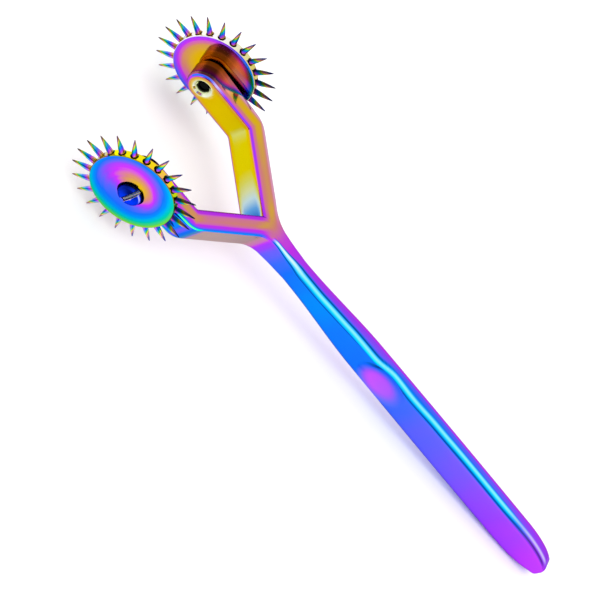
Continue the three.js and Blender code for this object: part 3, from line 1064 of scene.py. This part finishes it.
LEFT_TOP_SHARES = (
    (125, 0.20), (128.5, 0.28), (136, 0.29), (139, 0.30), (143, 0.22), (148, 0.21), (157, 0.24),
)
LEFT_FACE_SHARES = ((-1.2, 0.26), (-0.4, 0.80), (0.05, 0.72), (0.35, 0.64), (0.65, 0.52), (1, 0.66))
# Painted light on the left arm: the outer face is painted pale as a reflection, a painted dark line runs
# by the inner edge, and the bend has a painted highlight.
LEFT_FACE_TONES = ((-1.2, 0.35), (-0.4, 0))
LEFT_EDGE_TONES = ((2.6, 0), (2.85, -0.12), (3.05, -0.15), (3.2, 0))
BEND_GLOW = (0.8, 1.1)
BEND_EDGE_GLOW = (0.92, 0.06)
BEND_RISE_SHARE = 0.16


def fork_section(place, normal):
    """Where a point lies round the arm's section, from the outer face to the inner face."""
    side = math.copysign(1, place.y)
    y = abs(place.y)
    slant = (CROTCH_X - place.x) * ALONG_ARM.y + y * ALONG_ARM.x
    from_inner = max(slant, y - ARM_INNER)
    ahead = place.x - FORK_START
    beside = FILLET_CENTRE_Y - y
    if ahead < 0:
        from_outer = BAR_THICKNESS / 2 - y
    elif math.atan2(ahead, beside) < ARM_ANGLE:
        from_outer = math.hypot(ahead, beside) - CROTCH_FILLET_RADIUS
    else:
        from_outer = BAR_THICKNESS - from_inner
    past_pivot = place.x - PIVOT_X
    rise = abs(place.z)
    lift = abs(normal.z)
    way = normal.y * side * ALONG_ARM.x - normal.x * ALONG_ARM.y
    if past_pivot > 0:
        rise = math.hypot(past_pivot, place.z)
        lift = abs(normal.x * past_pivot + normal.z * place.z) / rise
        way = normal.y * side
    turn = math.atan2(lift, math.copysign(math.sqrt(max(0.0, 1 - lift ** 2)), way)) / QUARTER
    up_face = FACE_END * min(1.0, rise / (half_height(min(place.x, PIVOT_X)) - ARM_EDGE_RADIUS))
    if turn < FLAT_TURN:
        return up_face
    if turn > 2 - FLAT_TURN:
        return 4 - up_face
    if turn < EDGE_TURN:
        return FACE_END + (EDGE_END - FACE_END) * turn / EDGE_TURN
    if turn > 2 - EDGE_TURN:
        return 4 - EDGE_END + (EDGE_END - FACE_END) * (turn - 2 + EDGE_TURN) / EDGE_TURN
    outer_flat = max(from_outer - ARM_EDGE_RADIUS, 0)
    inner_flat = max(from_inner - ARM_EDGE_RADIUS, 0) + max(CROTCH_X - ARM_EDGE_RADIUS - place.x, 0)
    return EDGE_END + (4 - 2 * EDGE_END) * outer_flat / max(outer_flat + inner_flat, WELD_DISTANCE)


def crotch_share(place):
    """Yellow on the arms' inner faces, fading through pale grey to blue at the crotch."""
    depth = 1 - (place.x - CROTCH_X) / (CROTCH_DEPTH_SHARE * BAR_THICKNESS)
    across = place.z / half_height(place.x) - CROTCH_LEAN_SHARE
    fade = min(1.0, max(0.0, depth - CROTCH_BOW_SHARE * across ** 2))
    return INNER_FACE_SHARE - CROTCH_FALL_SHARE * fade ** CROTCH_FADE_POWER


def right_fork_film(place, normal):
    """Ochre top, purple edges and a yellow inner face, with a painted edge highlight and painted disc
    reflection.
    """
    x = place.x / MM
    section = fork_section(place, normal)
    top_share = between(x, RIGHT_TOP_SHARES)
    edge_share = between(x, RIGHT_UPPER_EDGE_SHARES) if place.z >= 0 else RIGHT_LOWER_EDGE_SHARE
    inner_share = crotch_share(place) + between(x, RIGHT_INNER_RISE_SHARES)
    round_shares = (
        (0, 0.30), (FACE_END, 0.33), (1.25, 0.32), (1.6, top_share + 0.03), (2, top_share),
        (2.55, top_share + 0.03), (2.82, 0.29), (2.9, 0.34), (2.95, 0.42), (3, edge_share),
        (3.05, 0.44), (3.1, 0.34), (3.18, inner_share + 0.08), (3.45, inner_share),
    )
    share = between(section, round_shares)
    gleam = 0
    top_start, top_end = RIGHT_TOP_REACH
    if top_start < section < top_end:
        by_wheel = ramp(x, *BY_WHEEL_FADE)
        share += (MIRRORED_DISC_SHARE - share) * by_wheel
        gleam = MIRRORED_DISC_GLEAM * by_wheel
    if section > BEND_LINE_SECTION and x < BEND_LINE_END:
        share += hill(x, *BEND_LINE_GLOW) * (1 - ramp(abs(place.z) / MM, *BEND_LINE_FADE))
    return share, hill(section, *RIGHT_OUTER_EDGE_GLOW), gleam


def left_fork_film(place, normal):
    """Salmon top between a purple and a blue edge, with painted light: a pale outer face, a dark line, a
    bend highlight.
    """
    section = fork_section(place, normal)
    top_share = between(place.x / MM, LEFT_TOP_SHARES)
    past_bend = (place.x - CROTCH_X) * ALONG_ARM.x + abs(place.y) * ALONG_ARM.y - BEND_RUN
    if past_bend < 0:
        bend = past_bend / MM
    else:
        bend = 1 - math.atan2(BEND_CENTRE_X - place.x, abs(place.y) - BEND_CENTRE_Y) / ARM_ANGLE
    bright = hill(bend, *BEND_GLOW)
    rise_share = BEND_RISE_SHARE * bright
    round_shares = (
        (0.84, between(bend, LEFT_FACE_SHARES)), (0.88, 0.71 + rise_share), (0.96, 0.68 + rise_share),
        (1.03, 0.60), (1.09, 0.50), (1.18, 0.41), (1.4, 0.34), (1.75, top_share),
        (2.4, top_share + 0.02), (2.65, 0.35), (2.82, 0.41), (3, 0.44), (3.17, 0.30),
        (3.24, crotch_share(place) + 0.08), (3.5, crotch_share(place)),
    )
    round_tones = ((0.83, between(bend, LEFT_FACE_TONES)), (0.87, 0), *LEFT_EDGE_TONES)
    gleam = bright * hill(section, *BEND_EDGE_GLOW)
    return between(section, round_shares), between(section, round_tones), gleam


# Film on the eyes of the arms and in their holes

# Painted shade: the walls of the pivot holes are painted dark, faintly pale at the mouth.
HOLE_SHARE = -0.06
HOLE_REACH_SHARE = 1.05
HOLE_TONE = -0.97
HOLE_MOUTH_TONE = 0.1
# Painted light on the eyes: a pale painted highlight ring round the hole, painted shade on the eye's end,
# and a painted highlight on the right eye's upper edge.
RING_REACH = 3.2
LIT_RING_FILM = (HOLE_SHARE, 0.45, 0)
RING_FADE = (2.5, 2.9)
RING_EDGE_GLOW = (2.95, 0.12, 0.12)
EYE_END_FACING = 0.6
EYE_END_SHARE = 0.29
EYE_END_FADE = (90, 122)
EYE_END_TONES = ((15, -0.5), (40, -0.9), (70, -0.9), (95, -0.5), (122, 0))
EYE_EDGE_FACING_FADE = (0.9, 0.98)
EYE_EDGE_RISE_SHARE = 0.12
EYE_EDGE_FADE = (60, 120)
EYE_EDGE_GLOW = (105, 20, 0.5)
# Painted light in the threads: painted shade, with painted light where the light falls and at the mouth.
THREAD_GLOW = (30, 30)
THREAD_MOUTH_STRENGTH = 0.85
THREAD_LIT_TONE = 0.2
THREAD_DARK_TONE = -0.95


def eye_film(place, normal, film):
    """The rounded eye: a painted highlight round the hole and on the right eye's edge, painted shade on
    its end.
    """
    share, tone, gleam = film
    radius = pivot_distance(place)
    side = math.copysign(1, place.y)
    if normal.y * side < 0 and radius < RING_REACH:
        share, tone, gleam = mixed(film, LIT_RING_FILM, 1 - ramp(radius, *RING_FADE))
        tone += hill(radius, *RING_EDGE_GLOW)
    angle = abs(wheel_angle(place))
    if abs(normal.y) < EYE_END_FACING:
        tone += between(angle, EYE_END_TONES)
        share += (EYE_END_SHARE - share) * (1 - ramp(angle, *EYE_END_FADE))
    elif side < 0 < place.z:
        on_edge = 1 - ramp(normal.y, *EYE_EDGE_FACING_FADE)
        share += EYE_EDGE_RISE_SHARE * (1 - ramp(angle, *EYE_EDGE_FADE)) * on_edge
        tone += hill(angle, *EYE_EDGE_GLOW) * on_edge
    return share, tone, gleam


def frame_film(place, normal):
    """The handle's film passing into that of the two arms, and painted shade on the walls of the holes."""
    inwards = normal.x * (place.x - PIVOT_X) + normal.z * place.z
    if pivot_distance(place) < HOLE_REACH_SHARE * HOLE_RADIUS / MM and inwards < 0:
        at_mouth = abs(place.y) < ARM_INNER + 2 * COUNTERSINK_DEPTH
        return HOLE_SHARE, HOLE_MOUTH_TONE if at_mouth else HOLE_TONE, 0
    handle = handle_film(place, normal)
    along = ramp(place.x, CROTCH_X - BAR_THICKNESS - CUT_OVERRUN, CROTCH_X - CUT_OVERRUN)
    if along == 0:
        return handle
    leftwards = ramp(place.y, -BAR_THICKNESS / 2, BAR_THICKNESS / 2)
    fork = mixed(right_fork_film(place, normal), left_fork_film(place, normal), leftwards)
    if place.x > PIVOT_X - ARM_HEIGHT / 2:
        fork = eye_film(place, normal, fork)
    return mixed(handle, fork, along)


def thread_film(place, normal):
    """Ridges painted dark as shade, and painted pale at the mouth and where the light falls on the wall.
    """
    mouth = ARM_INNER + COUNTERSINK_DEPTH
    near_mouth = 1 - ramp(abs(place.y), mouth, mouth + COUNTERSINK_DEPTH)
    lit = max(hill(wheel_angle(place), *THREAD_GLOW), THREAD_MOUTH_STRENGTH * near_mouth)
    return HOLE_SHARE, THREAD_LIT_TONE * lit + THREAD_DARK_TONE * (1 - lit), 0


# Film on the discs

# Painted light on the rims: the pale tones are painted highlights, and the left rim's dark edge tone is
# painted shade.
LEFT_RIM_SHARES = (
    (-30, 0.02), (4, 0.0), (14, 0.94), (37, 0.945), (53, 0.95), (69, 0.96), (92, 0.98), (118, 0.92),
    (140, 0.86), (165, 0.90),
)
LEFT_RIM_TONES = ((-30, 0.6), (-12, 0.85), (0, 0.4), (14, 0), (165, 0))
LEFT_RIM_RISE = (80, 35, 0.07)
LEFT_RIM_OUTER_FADE = (0.7, 1)
LEFT_RIM_INNER_FADE = (0, 0.3)
LEFT_RIM_INNER_SHARE = 0.04
LEFT_RIM_EDGE_FADE = (0.86, 0.92)
LEFT_RIM_EDGE_TONE = -0.75
RIGHT_RIM_SHARES = ((-20, -0.03), (20, -0.03), (60, 0.0), (92, 0.04), (125, 0.08))
RIGHT_RIM_TONES = (
    (-7, 0.95), (10, 0.8), (26, 0.7), (42, 0.95), (59, 0.8), (75, 0.55), (92, 0.3), (108, 0.15),
    (124, 0.2),
)

OUTER_FAR_SHARES = (
    (3.3, 0.54), (4.4, 0.60), (5.5, 0.61), (6.5, 0.645), (7.5, 0.70), (8.5, 0.765), (9.5, 0.83),
    (10.6, 0.89),
)
OUTER_DIP_SHARES = (
    (3.3, 0.46), (4.6, 0.46), (5.6, 0.38), (7, 0.33), (9, 0.35), (9.8, 0.30), (10.4, 0.28),
)
OUTER_DIP_ANGLES = ((3.5, 84), (5.2, 75), (6.5, 55), (8.5, 38))
OUTER_DIP_POWER = 1.5

INNER_SHARES = ((2.3, 0.10), (6, 0.12), (8, 0.19), (9.3, 0.33), (10.2, 0.42), (11, 0.48))
INNER_RAINBOW_SHARES = ((2.3, 0.22), (5, 0.27), (7.5, 0.30), (8.7, 0.38), (9.7, 0.60), (10.6, 0.84))
INNER_RAINBOW_ANGLE = 150
INNER_RAINBOW_WIDTH = 40
# A faint painted sheen pales the rainbow side towards the middle.
INNER_RAINBOW_TONE = 0.2
INNER_RAINBOW_FADE = (7.5, 10)
INNER_EDGE_RISES = ((-80, 40, 0.14), (105, 35, 0.14))
INNER_EDGE_FADE = (8.5, 10.5)
INNER_BAND_RISE = (-85, 45, 0.16)
INNER_BAND_START = (4, 7.5)
INNER_BAND_END = (8, 10.5)

RIM_MARGIN = 0.2
RIM_FACING = 0.8
SEAT_FACING = 0.7
# Painted shade: the spike seats and the bore are painted dark.
SHADED_SEAT_FILM = (0.1, -0.85, 0)
BORE_MARGIN = 0.1
SHADED_BORE_FILM = (0.66, -0.75, 0)


def rim_film(place, side):
    """The band that the spikes stand in, with painted highlights and, on the left wheel, painted shade on
    its outer edge.
    """
    angle = wheel_angle(place)
    if side < 0:
        return between(angle, RIGHT_RIM_SHARES), between(angle, RIGHT_RIM_TONES), 0
    across = (abs(place.y) - DISC_INNER) / DISC_THICKNESS
    share = between(angle, LEFT_RIM_SHARES)
    share += hill(angle, *LEFT_RIM_RISE) * ramp(across, *LEFT_RIM_OUTER_FADE)
    share += LEFT_RIM_INNER_SHARE * (1 - ramp(across, *LEFT_RIM_INNER_FADE))
    tone = between(angle, LEFT_RIM_TONES)
    return share, tone + (LEFT_RIM_EDGE_TONE - tone) * ramp(across, *LEFT_RIM_EDGE_FADE), 0


def outer_disc_film(radius, angle):
    """Tilted rings from gold at the hub through magenta and blue to green at the edge."""
    from_dip = math.radians(angle - between(radius, OUTER_DIP_ANGLES))
    swing = (1 + math.cos(from_dip)) / 2
    share = between(radius, OUTER_FAR_SHARES)
    return share - between(radius, OUTER_DIP_SHARES) * swing ** OUTER_DIP_POWER, 0, 0


def inner_disc_film(radius, angle):
    """Gold in the middle, violet at the edge and all the rainbow on one side, with a faint painted sheen
    there.
    """
    share = between(radius, INNER_SHARES)
    share += max(hill(angle, *rise) for rise in INNER_EDGE_RISES) * ramp(radius, *INNER_EDGE_FADE)
    in_band = ramp(radius, *INNER_BAND_START) * (1 - ramp(radius, *INNER_BAND_END))
    share += hill(angle, *INNER_BAND_RISE) * in_band
    from_rainbow = (angle - INNER_RAINBOW_ANGLE + 180) % 360 - 180
    swing = hill(from_rainbow, 0, INNER_RAINBOW_WIDTH)
    tone = INNER_RAINBOW_TONE * swing * (1 - ramp(radius, *INNER_RAINBOW_FADE))
    return share + (between(radius, INNER_RAINBOW_SHARES) - share) * swing, tone, 0


def disc_film(place, normal):
    """The rim, the seats of the spikes and the bores painted dark as shade, and the two faces of a disc.
    """
    side = math.copysign(1, place.y)
    radius = pivot_distance(place)
    outwards = normal.y * side
    if radius > DISC_RADIUS / MM - RIM_MARGIN and abs(outwards) < RIM_FACING:
        return rim_film(place, side)
    if radius > (DISC_RADIUS - SPIKE_SHANK_LENGTH) / MM and abs(outwards) < SEAT_FACING:
        return SHADED_SEAT_FILM
    if radius < COUNTERBORE_RADIUS / MM + BORE_MARGIN:
        return SHADED_BORE_FILM
    if outwards > 0:
        return outer_disc_film(radius, wheel_angle(place))
    return inner_disc_film(radius, wheel_angle(place))


# Film on the spikes. A spike's sides, seen along the wheel's axis, are -1 and 1.

# Painted light on the spikes: a painted dark reflection down one side, painted shade at the foot, painted
# darkening at the tip and a pale painted glint.
SPIKE_SHARES = (
    (10.9, 0.2), (11.4, 0.36), (12, 0.54), (12.8, 0.76), (13.5, 0.9), (14.2, 1.0), (15, 1.13),
    (16, 1.22),
)
SPIKE_SIDE_SHARE = -0.2
STREAK_SIDES = (
    (-180, -0.7), (-140, -0.5), (-100, 0.5), (-20, 0.62), (15, 0.1), (45, -0.4), (90, -0.85),
    (150, -0.75),
)
STREAK_WIDTHS = ((0, 0.22), (60, 0.35), (110, 0.65))
STREAK_STRENGTHS = (0.55, 0.95)
TIP_STRENGTHS = (0.5, 0.95)
TIP_FADE = (14, 15.6)
DARK_SPIKE_GLOWS = ((-15, 55), (135, 45))
PALE_SPIKE_GLOW = (-100, 75, 0.3)
FOOT_STRENGTH = 0.75
FOOT_FADE = (10.9, 11.2)


def spike_film(place, normal):
    """The whole rainbow from base to tip, with a painted dark reflection down one side and painted shade
    at the foot.
    """
    radius = pivot_distance(place)
    angle = wheel_angle(place)
    radial = Vector((place.x - PIVOT_X, 0, place.z)).normalized()
    sideways = radial.cross(Vector((0, 1, 0))).dot(normal)
    darker = max(hill(angle, *glow) for glow in DARK_SPIKE_GLOWS)

    def strength(least, most):
        return least + (most - least) * darker

    on_streak = hill(sideways, between(angle, STREAK_SIDES), between(angle, STREAK_WIDTHS))
    streak = on_streak * strength(*STREAK_STRENGTHS)
    tip = ramp(radius, *TIP_FADE) * strength(*TIP_STRENGTHS)
    foot = FOOT_STRENGTH * (1 - ramp(radius, *FOOT_FADE))
    dark = max(streak, tip, foot)
    tone = hill(angle, *PALE_SPIKE_GLOW) * (1 - dark) - dark
    return between(radius, SPIKE_SHARES) + SPIKE_SIDE_SHARE * sideways, tone, 0


# Film on the pivot screws

# Painted light on the screws: painted shade below the slot floor, on one slot wall and across the head,
# the other wall painted pale as lit, a painted highlight on one side of the head's edge and a faint
# painted gleam on the head.
SCREW_SHARE = 1.3
SHADED_SHANK_FILM = (1.2, -0.98, 0)
LIT_WALL_FILM = (-0.14, 0.2, 0)
DARK_WALL_FILM = (SCREW_SHARE, -0.85, 0)
HEAD_EDGE_LIT_ANGLE = (115, 45)
HEAD_EDGE_LIT_RADIUS = (2.75, 0.2)
HEAD_EDGE_LIT_TONE = 0.55
HEAD_EDGE_TONE = -0.2
HEAD_EDGE_SHADE = (40, 60, -0.6)
HEAD_SHADE = (60, 80)
HEAD_SHADE_FADE = (0.2, 1.2)
HEAD_SHADE_TONE = -0.85
HEAD_GLEAM = 0.15


def screw_film(place, normal):
    """Dark blue under painted shade, a slot wall painted silvery as lit, a painted highlight on one edge.
    """
    radius = pivot_distance(place)
    angle = wheel_angle(place)
    slot_floor = HUB_RIM + HEAD_STAND_OUT - SLOT_DEPTH
    if abs(place.y) < slot_floor - SLOT_BREAK:
        return SHADED_SHANK_FILM
    from_slot = place.x - PIVOT_X
    if abs(from_slot) < SLOT_WIDTH / 2 + SLOT_BREAK / 4:
        return LIT_WALL_FILM if from_slot < (SLOT_BREAK - SLOT_WIDTH) / 2 else DARK_WALL_FILM
    if radius > (HEAD_RADIUS - HEAD_EDGE_RADIUS) / MM:
        lit = hill(angle, *HEAD_EDGE_LIT_ANGLE) * hill(radius, *HEAD_EDGE_LIT_RADIUS)
        unlit_tone = HEAD_EDGE_TONE + hill(angle, *HEAD_EDGE_SHADE)
        return SCREW_SHARE, HEAD_EDGE_LIT_TONE * lit + unlit_tone * (1 - lit), 0
    shade = hill(angle, *HEAD_SHADE) * ramp(radius, *HEAD_SHADE_FADE)
    return SCREW_SHARE, HEAD_SHADE_TONE * shade, HEAD_GLEAM * (1 - shade)


# Colours: shader node groups shared by the metal pieces. The stops are shares along the rainbow
# with their colours as red, green and blue from 0 to 255.

FILM_STOPS = (
    (-0.30, (0, 100, 200)),
    (-0.20, (100, 170, 230)),
    (-0.12, (190, 220, 225)),
    (-0.06, (205, 215, 160)),
    (0.00, (205, 205, 90)),
    (0.05, (212, 198, 0)),
    (0.12, (218, 176, 0)),
    (0.20, (208, 155, 75)),
    (0.28, (207, 128, 118)),
    (0.34, (206, 105, 175)),
    (0.40, (196, 50, 235)),
    (0.47, (150, 66, 250)),
    (0.54, (95, 95, 252)),
    (0.62, (22, 108, 246)),
    (0.69, (0, 140, 240)),
    (0.75, (0, 175, 215)),
    (0.81, (0, 196, 150)),
    (0.87, (90, 205, 70)),
    (0.92, (190, 220, 20)),
    (0.95, (249, 242, 15)),
    (0.98, (248, 205, 30)),
    (1.03, (240, 150, 150)),
    (1.10, (220, 130, 200)),
    (1.20, (140, 150, 140)),
    (1.30, (0, 50, 228)),
)
FILM_START = FILM_STOPS[0][0]
FILM_SPAN = FILM_STOPS[-1][0] - FILM_START
WHITE = (1, 1, 1, 1)
BLACK = (0, 0, 0, 1)
EDGE_TINT = (0.5, 0.5, 0.5, 1)

# Finish of each metal: how deep the film's clouds are, then its smoothest and its haziest roughness
FINISHES = {
    "frame": (0.03, 0.06, 0.12),
    "disc": (0.03, 0.06, 0.12),
    "spike": (0.02, 0.08, 0.14),
    "screw": (0.02, 0.10, 0.18),
}
CLOUD_SCALE = 120.0
CLOUD_DETAIL = 2
HAZE_SCALE = 900.0
HAZE_DETAIL = 5


def linear(byte_colour):
    """A colour from 0 to 255 in the renderer's linear values, by the usual sRGB curve."""
    foot_end, foot_slope, offset, power = 0.04045, 12.92, 0.055, 2.4
    values = []
    for byte in byte_colour:
        share = byte / 255
        curve = ((share + offset) / (1 + offset)) ** power
        values.append(share / foot_slope if share <= foot_end else curve)
    return (*values, 1.0)


def shader_group(name, inputs, outputs):
    """A node group whose inputs are numbers with a default and whose outputs have a kind each."""
    group = bpy.data.node_groups.new(name, "ShaderNodeTree")
    for socket_name, default in inputs.items():
        socket = group.interface.new_socket(socket_name, in_out="INPUT", socket_type="NodeSocketFloat")
        socket.default_value = default
    for socket_name, kind in outputs.items():
        group.interface.new_socket(socket_name, in_out="OUTPUT", socket_type=kind)
    return group, group.nodes.new("NodeGroupInput"), group.nodes.new("NodeGroupOutput")


def mix_colour(tree, factor, first, second, blend_type="MIX"):
    """Two colours mixed by a factor."""
    made = tree.nodes.new("ShaderNodeMix")
    made.data_type = "RGBA"
    made.blend_type = blend_type
    made.clamp_result = True
    for name, value in (("Factor_Float", factor), ("A_Color", first), ("B_Color", second)):
        feed(tree, next(s for s in made.inputs if s.identifier == name), value)
    return next(s for s in made.outputs if s.identifier == "Result_Color")


def rainbow_group():
    """Colour of the film with painted light: its share runs along the rainbow, its tone pales it as a
    painted highlight or darkens it as painted shade, and its gleam doubles it as a painted highlight."""
    group, inputs, outputs = shader_group(
        "rainbow film",
        {"Film": 0.0, "Tone": 0.0, "Gleam": 0.0, "Drift": 0.0},
        {"Color": "NodeSocketColor"},
    )
    drifted = math_node(group, "ADD", inputs.outputs["Film"], inputs.outputs["Drift"])
    from_start = math_node(group, "SUBTRACT", drifted, FILM_START)
    share = math_node(group, "DIVIDE", from_start, FILM_SPAN, clamp=True)
    rainbow = group.nodes.new("ShaderNodeValToRGB")
    stops = rainbow.color_ramp.elements
    stops.remove(stops[1])
    for index, (place, colour) in enumerate(FILM_STOPS):
        position = (place - FILM_START) / FILM_SPAN
        stop = stops[0] if index == 0 else stops.new(position)
        stop.position = position
        stop.color = linear(colour)
    group.links.new(share, rainbow.inputs[0])
    pale = math_node(group, "MAXIMUM", inputs.outputs["Tone"], 0.0)
    dark = math_node(group, "MULTIPLY", math_node(group, "MINIMUM", inputs.outputs["Tone"], 0.0), -1.0)
    lit = mix_colour(group, inputs.outputs["Gleam"], rainbow.outputs[0], rainbow.outputs[0], "ADD")
    paled = mix_colour(group, pale, lit, WHITE)
    darkened = mix_colour(group, dark, paled, BLACK)
    group.links.new(darkened, outputs.inputs["Color"])
    return group


def drift_group():
    """Slow unevenness of the film and a faint haze of wiping marks."""
    sizes = {"Cloud Scale": CLOUD_SCALE, "Cloud Depth": 0.0, "Haze Scale": HAZE_SCALE}
    group, inputs, outputs = shader_group(
        "film drift",
        {**sizes, "Smooth": 0.0, "Hazy": 1.0},
        {"Drift": "NodeSocketFloat", "Roughness": "NodeSocketFloat"},
    )
    place = group.nodes.new("ShaderNodeTexCoord")

    def noise(detail, scale):
        made = group.nodes.new("ShaderNodeTexNoise")
        made.inputs["Detail"].default_value = detail
        group.links.new(place.outputs["Object"], made.inputs["Vector"])
        group.links.new(inputs.outputs[scale], made.inputs["Scale"])
        return made.outputs[0]

    centred = math_node(group, "SUBTRACT", noise(CLOUD_DETAIL, "Cloud Scale"), 0.5)
    drift = math_node(group, "MULTIPLY", centred, inputs.outputs["Cloud Depth"])
    group.links.new(drift, outputs.inputs["Drift"])
    rough = group.nodes.new("ShaderNodeMapRange")
    group.links.new(noise(HAZE_DETAIL, "Haze Scale"), rough.inputs["Value"])
    group.links.new(inputs.outputs["Smooth"], rough.inputs["To Min"])
    group.links.new(inputs.outputs["Hazy"], rough.inputs["To Max"])
    group.links.new(rough.outputs[0], outputs.inputs["Roughness"])
    return group


def coated_metal(name, rainbow, drift, cloud_depth, smooth, hazy):
    """Mirror-polished metal under the rainbow film."""
    material = bpy.data.materials.new(name)
    material.use_nodes = True
    tree = material.node_tree
    surface = tree.nodes["Principled BSDF"]
    surface.inputs["Metallic"].default_value = 1.0
    surface.inputs["Specular Tint"].default_value = EDGE_TINT

    uneven = tree.nodes.new("ShaderNodeGroup")
    uneven.node_tree = drift
    uneven.inputs["Cloud Depth"].default_value = cloud_depth
    uneven.inputs["Smooth"].default_value = smooth
    uneven.inputs["Hazy"].default_value = hazy

    film = tree.nodes.new("ShaderNodeGroup")
    film.node_tree = rainbow
    for layer in FILM_LAYERS:
        reader = tree.nodes.new("ShaderNodeAttribute")
        reader.attribute_name = layer
        tree.links.new(reader.outputs["Fac"], film.inputs[layer.capitalize()])
    tree.links.new(uneven.outputs["Drift"], film.inputs["Drift"])
    tree.links.new(film.outputs["Color"], surface.inputs["Base Color"])
    tree.links.new(uneven.outputs["Roughness"], surface.inputs["Roughness"])
    return material


# Studio

def place_camera():
    """The camera that the photograph was taken with."""
    camera = bpy.data.objects.new("camera", bpy.data.cameras.new("camera"))
    bpy.context.scene.collection.objects.link(camera)
    camera.data.lens = CAMERA_LENS
    camera.data.sensor_width = CAMERA_SENSOR
    camera.data.clip_start = CAMERA_CLIP
    back = CAMERA_BACK.normalized()
    up = back.cross(CAMERA_RIGHT).normalized()
    right = up.cross(back)
    turn = Matrix((right, up, back)).transposed().to_4x4()
    camera.matrix_world = Matrix.Translation(CAMERA_PLACE) @ turn
    bpy.context.scene.camera = camera


def softbox(name, place, aim, width, power):
    """A square lamp that lights the piece but isn't mirrored in it."""
    lamp = bpy.data.lights.new(name, "AREA")
    lamp.shape = "SQUARE"
    lamp.size = width
    lamp.energy = power
    obj = bpy.data.objects.new(name, lamp)
    obj.visible_glossy = False
    obj.location = place
    obj.rotation_euler = (aim - place).to_track_quat("-Z", "Y").to_euler()
    bpy.context.scene.collection.objects.link(obj)


def white_world():
    """An even studio: white where it is seen or mirrored, a little more as light."""
    world = bpy.data.worlds.new("studio")
    bpy.context.scene.world = world
    world.use_nodes = True
    tree = world.node_tree
    backdrop = tree.nodes["Background"]
    backdrop.inputs["Color"].default_value = WHITE
    rays = tree.nodes.new("ShaderNodeLightPath")
    seen = math_node(tree, "MAXIMUM", rays.outputs["Is Camera Ray"], rays.outputs["Is Glossy Ray"])
    seen = math_node(tree, "MAXIMUM", seen, rays.outputs["Is Transmission Ray"])
    strength = tree.nodes.new("ShaderNodeMapRange")
    strength.inputs["To Min"].default_value = STUDIO_LIGHT_STRENGTH
    strength.inputs["To Max"].default_value = BACKDROP_STRENGTH
    tree.links.new(seen, strength.inputs["Value"])
    tree.links.new(strength.outputs[0], backdrop.inputs["Strength"])


def lay_floor():
    """A pale sheet under the spike tips and the butt, clear from below."""
    low_at_wheels = -SPIKE_TIP_CIRCLE
    low_at_butt = -half_height(NOSE_LENGTH)
    slope = (low_at_butt - low_at_wheels) / (PIVOT_X - NOSE_LENGTH)
    points = []
    for x_side, y_side in ((-1, -1), (1, -1), (1, 1), (-1, 1)):
        x = PIVOT_X / 2 + x_side * FLOOR_REACH
        points.append((x, y_side * FLOOR_REACH, low_at_wheels + (PIVOT_X - x) * slope))
    floor = object_from("floor", points, [(0, 1, 2, 3)])
    paper = bpy.data.materials.new("pale paper")
    paper.use_nodes = True
    tree = paper.node_tree
    surface = tree.nodes["Principled BSDF"]
    surface.inputs["Base Color"].default_value = PAPER_COLOUR
    surface.inputs["Roughness"].default_value = 1.0
    surface.inputs["Specular IOR Level"].default_value = 0.0
    clear = tree.nodes.new("ShaderNodeBsdfTransparent")
    side = tree.nodes.new("ShaderNodeNewGeometry")
    mix = tree.nodes.new("ShaderNodeMixShader")
    tree.links.new(side.outputs["Backfacing"], mix.inputs[0])
    tree.links.new(surface.outputs[0], mix.inputs[1])
    tree.links.new(clear.outputs[0], mix.inputs[2])
    tree.links.new(mix.outputs[0], tree.nodes["Material Output"].inputs["Surface"])
    floor.data.materials.append(paper)


# Putting it together

def put_on(piece, body, material, nodes):
    """Gives a piece its metal and its body, and hides the plain solids that it stands for."""
    piece.data.materials.clear()
    piece.data.materials.append(material)
    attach(piece, body)
    if nodes:
        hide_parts(*nodes)


def main():
    rainbow = rainbow_group()
    drift = drift_group()
    metals = {}
    for kind, finish in FINISHES.items():
        metals[kind] = coated_metal(f"coated {kind} metal", rainbow, drift, *finish)

    body = make_frame()
    coat(body, frame_film)
    put_on(body, "frame", metals["frame"], ["fork_handle"])

    threads = make_threads(metals["frame"])
    coat(threads, thread_film)
    put_on(threads, "frame", metals["frame"], [])

    seats = seat_tree()
    spikes_tree = spike_tree()
    for name, side in SIDES.items():
        turn = WHEEL_TURN[name]
        disc = make_disc(name, side, turn, seats, metals["disc"])
        coat(disc, disc_film)
        put_on(disc, f"{name}_wheel", metals["disc"], [f"{name}_disc"])

        spikes = make_spikes(name, side, turn, spikes_tree, metals["spike"])
        coat(spikes, spike_film)
        spike_nodes = [f"{name}_spike_{i + 1:02d}" for i in range(SPIKE_COUNT)]
        put_on(spikes, f"{name}_wheel", metals["spike"], spike_nodes)

        screw = make_screw(name, side)
        coat(screw, screw_film)
        put_on(screw, "frame", metals["screw"], [f"{name}_pivot_screw"])

    place_camera()
    white_world()
    lay_floor()
    softbox("overhead softbox", LAMP_PLACE, Vector((PIVOT_X / 2, 0, 0)), LAMP_WIDTH, LAMP_POWER)
    bpy.context.scene.view_settings.view_transform = "Standard"


main()
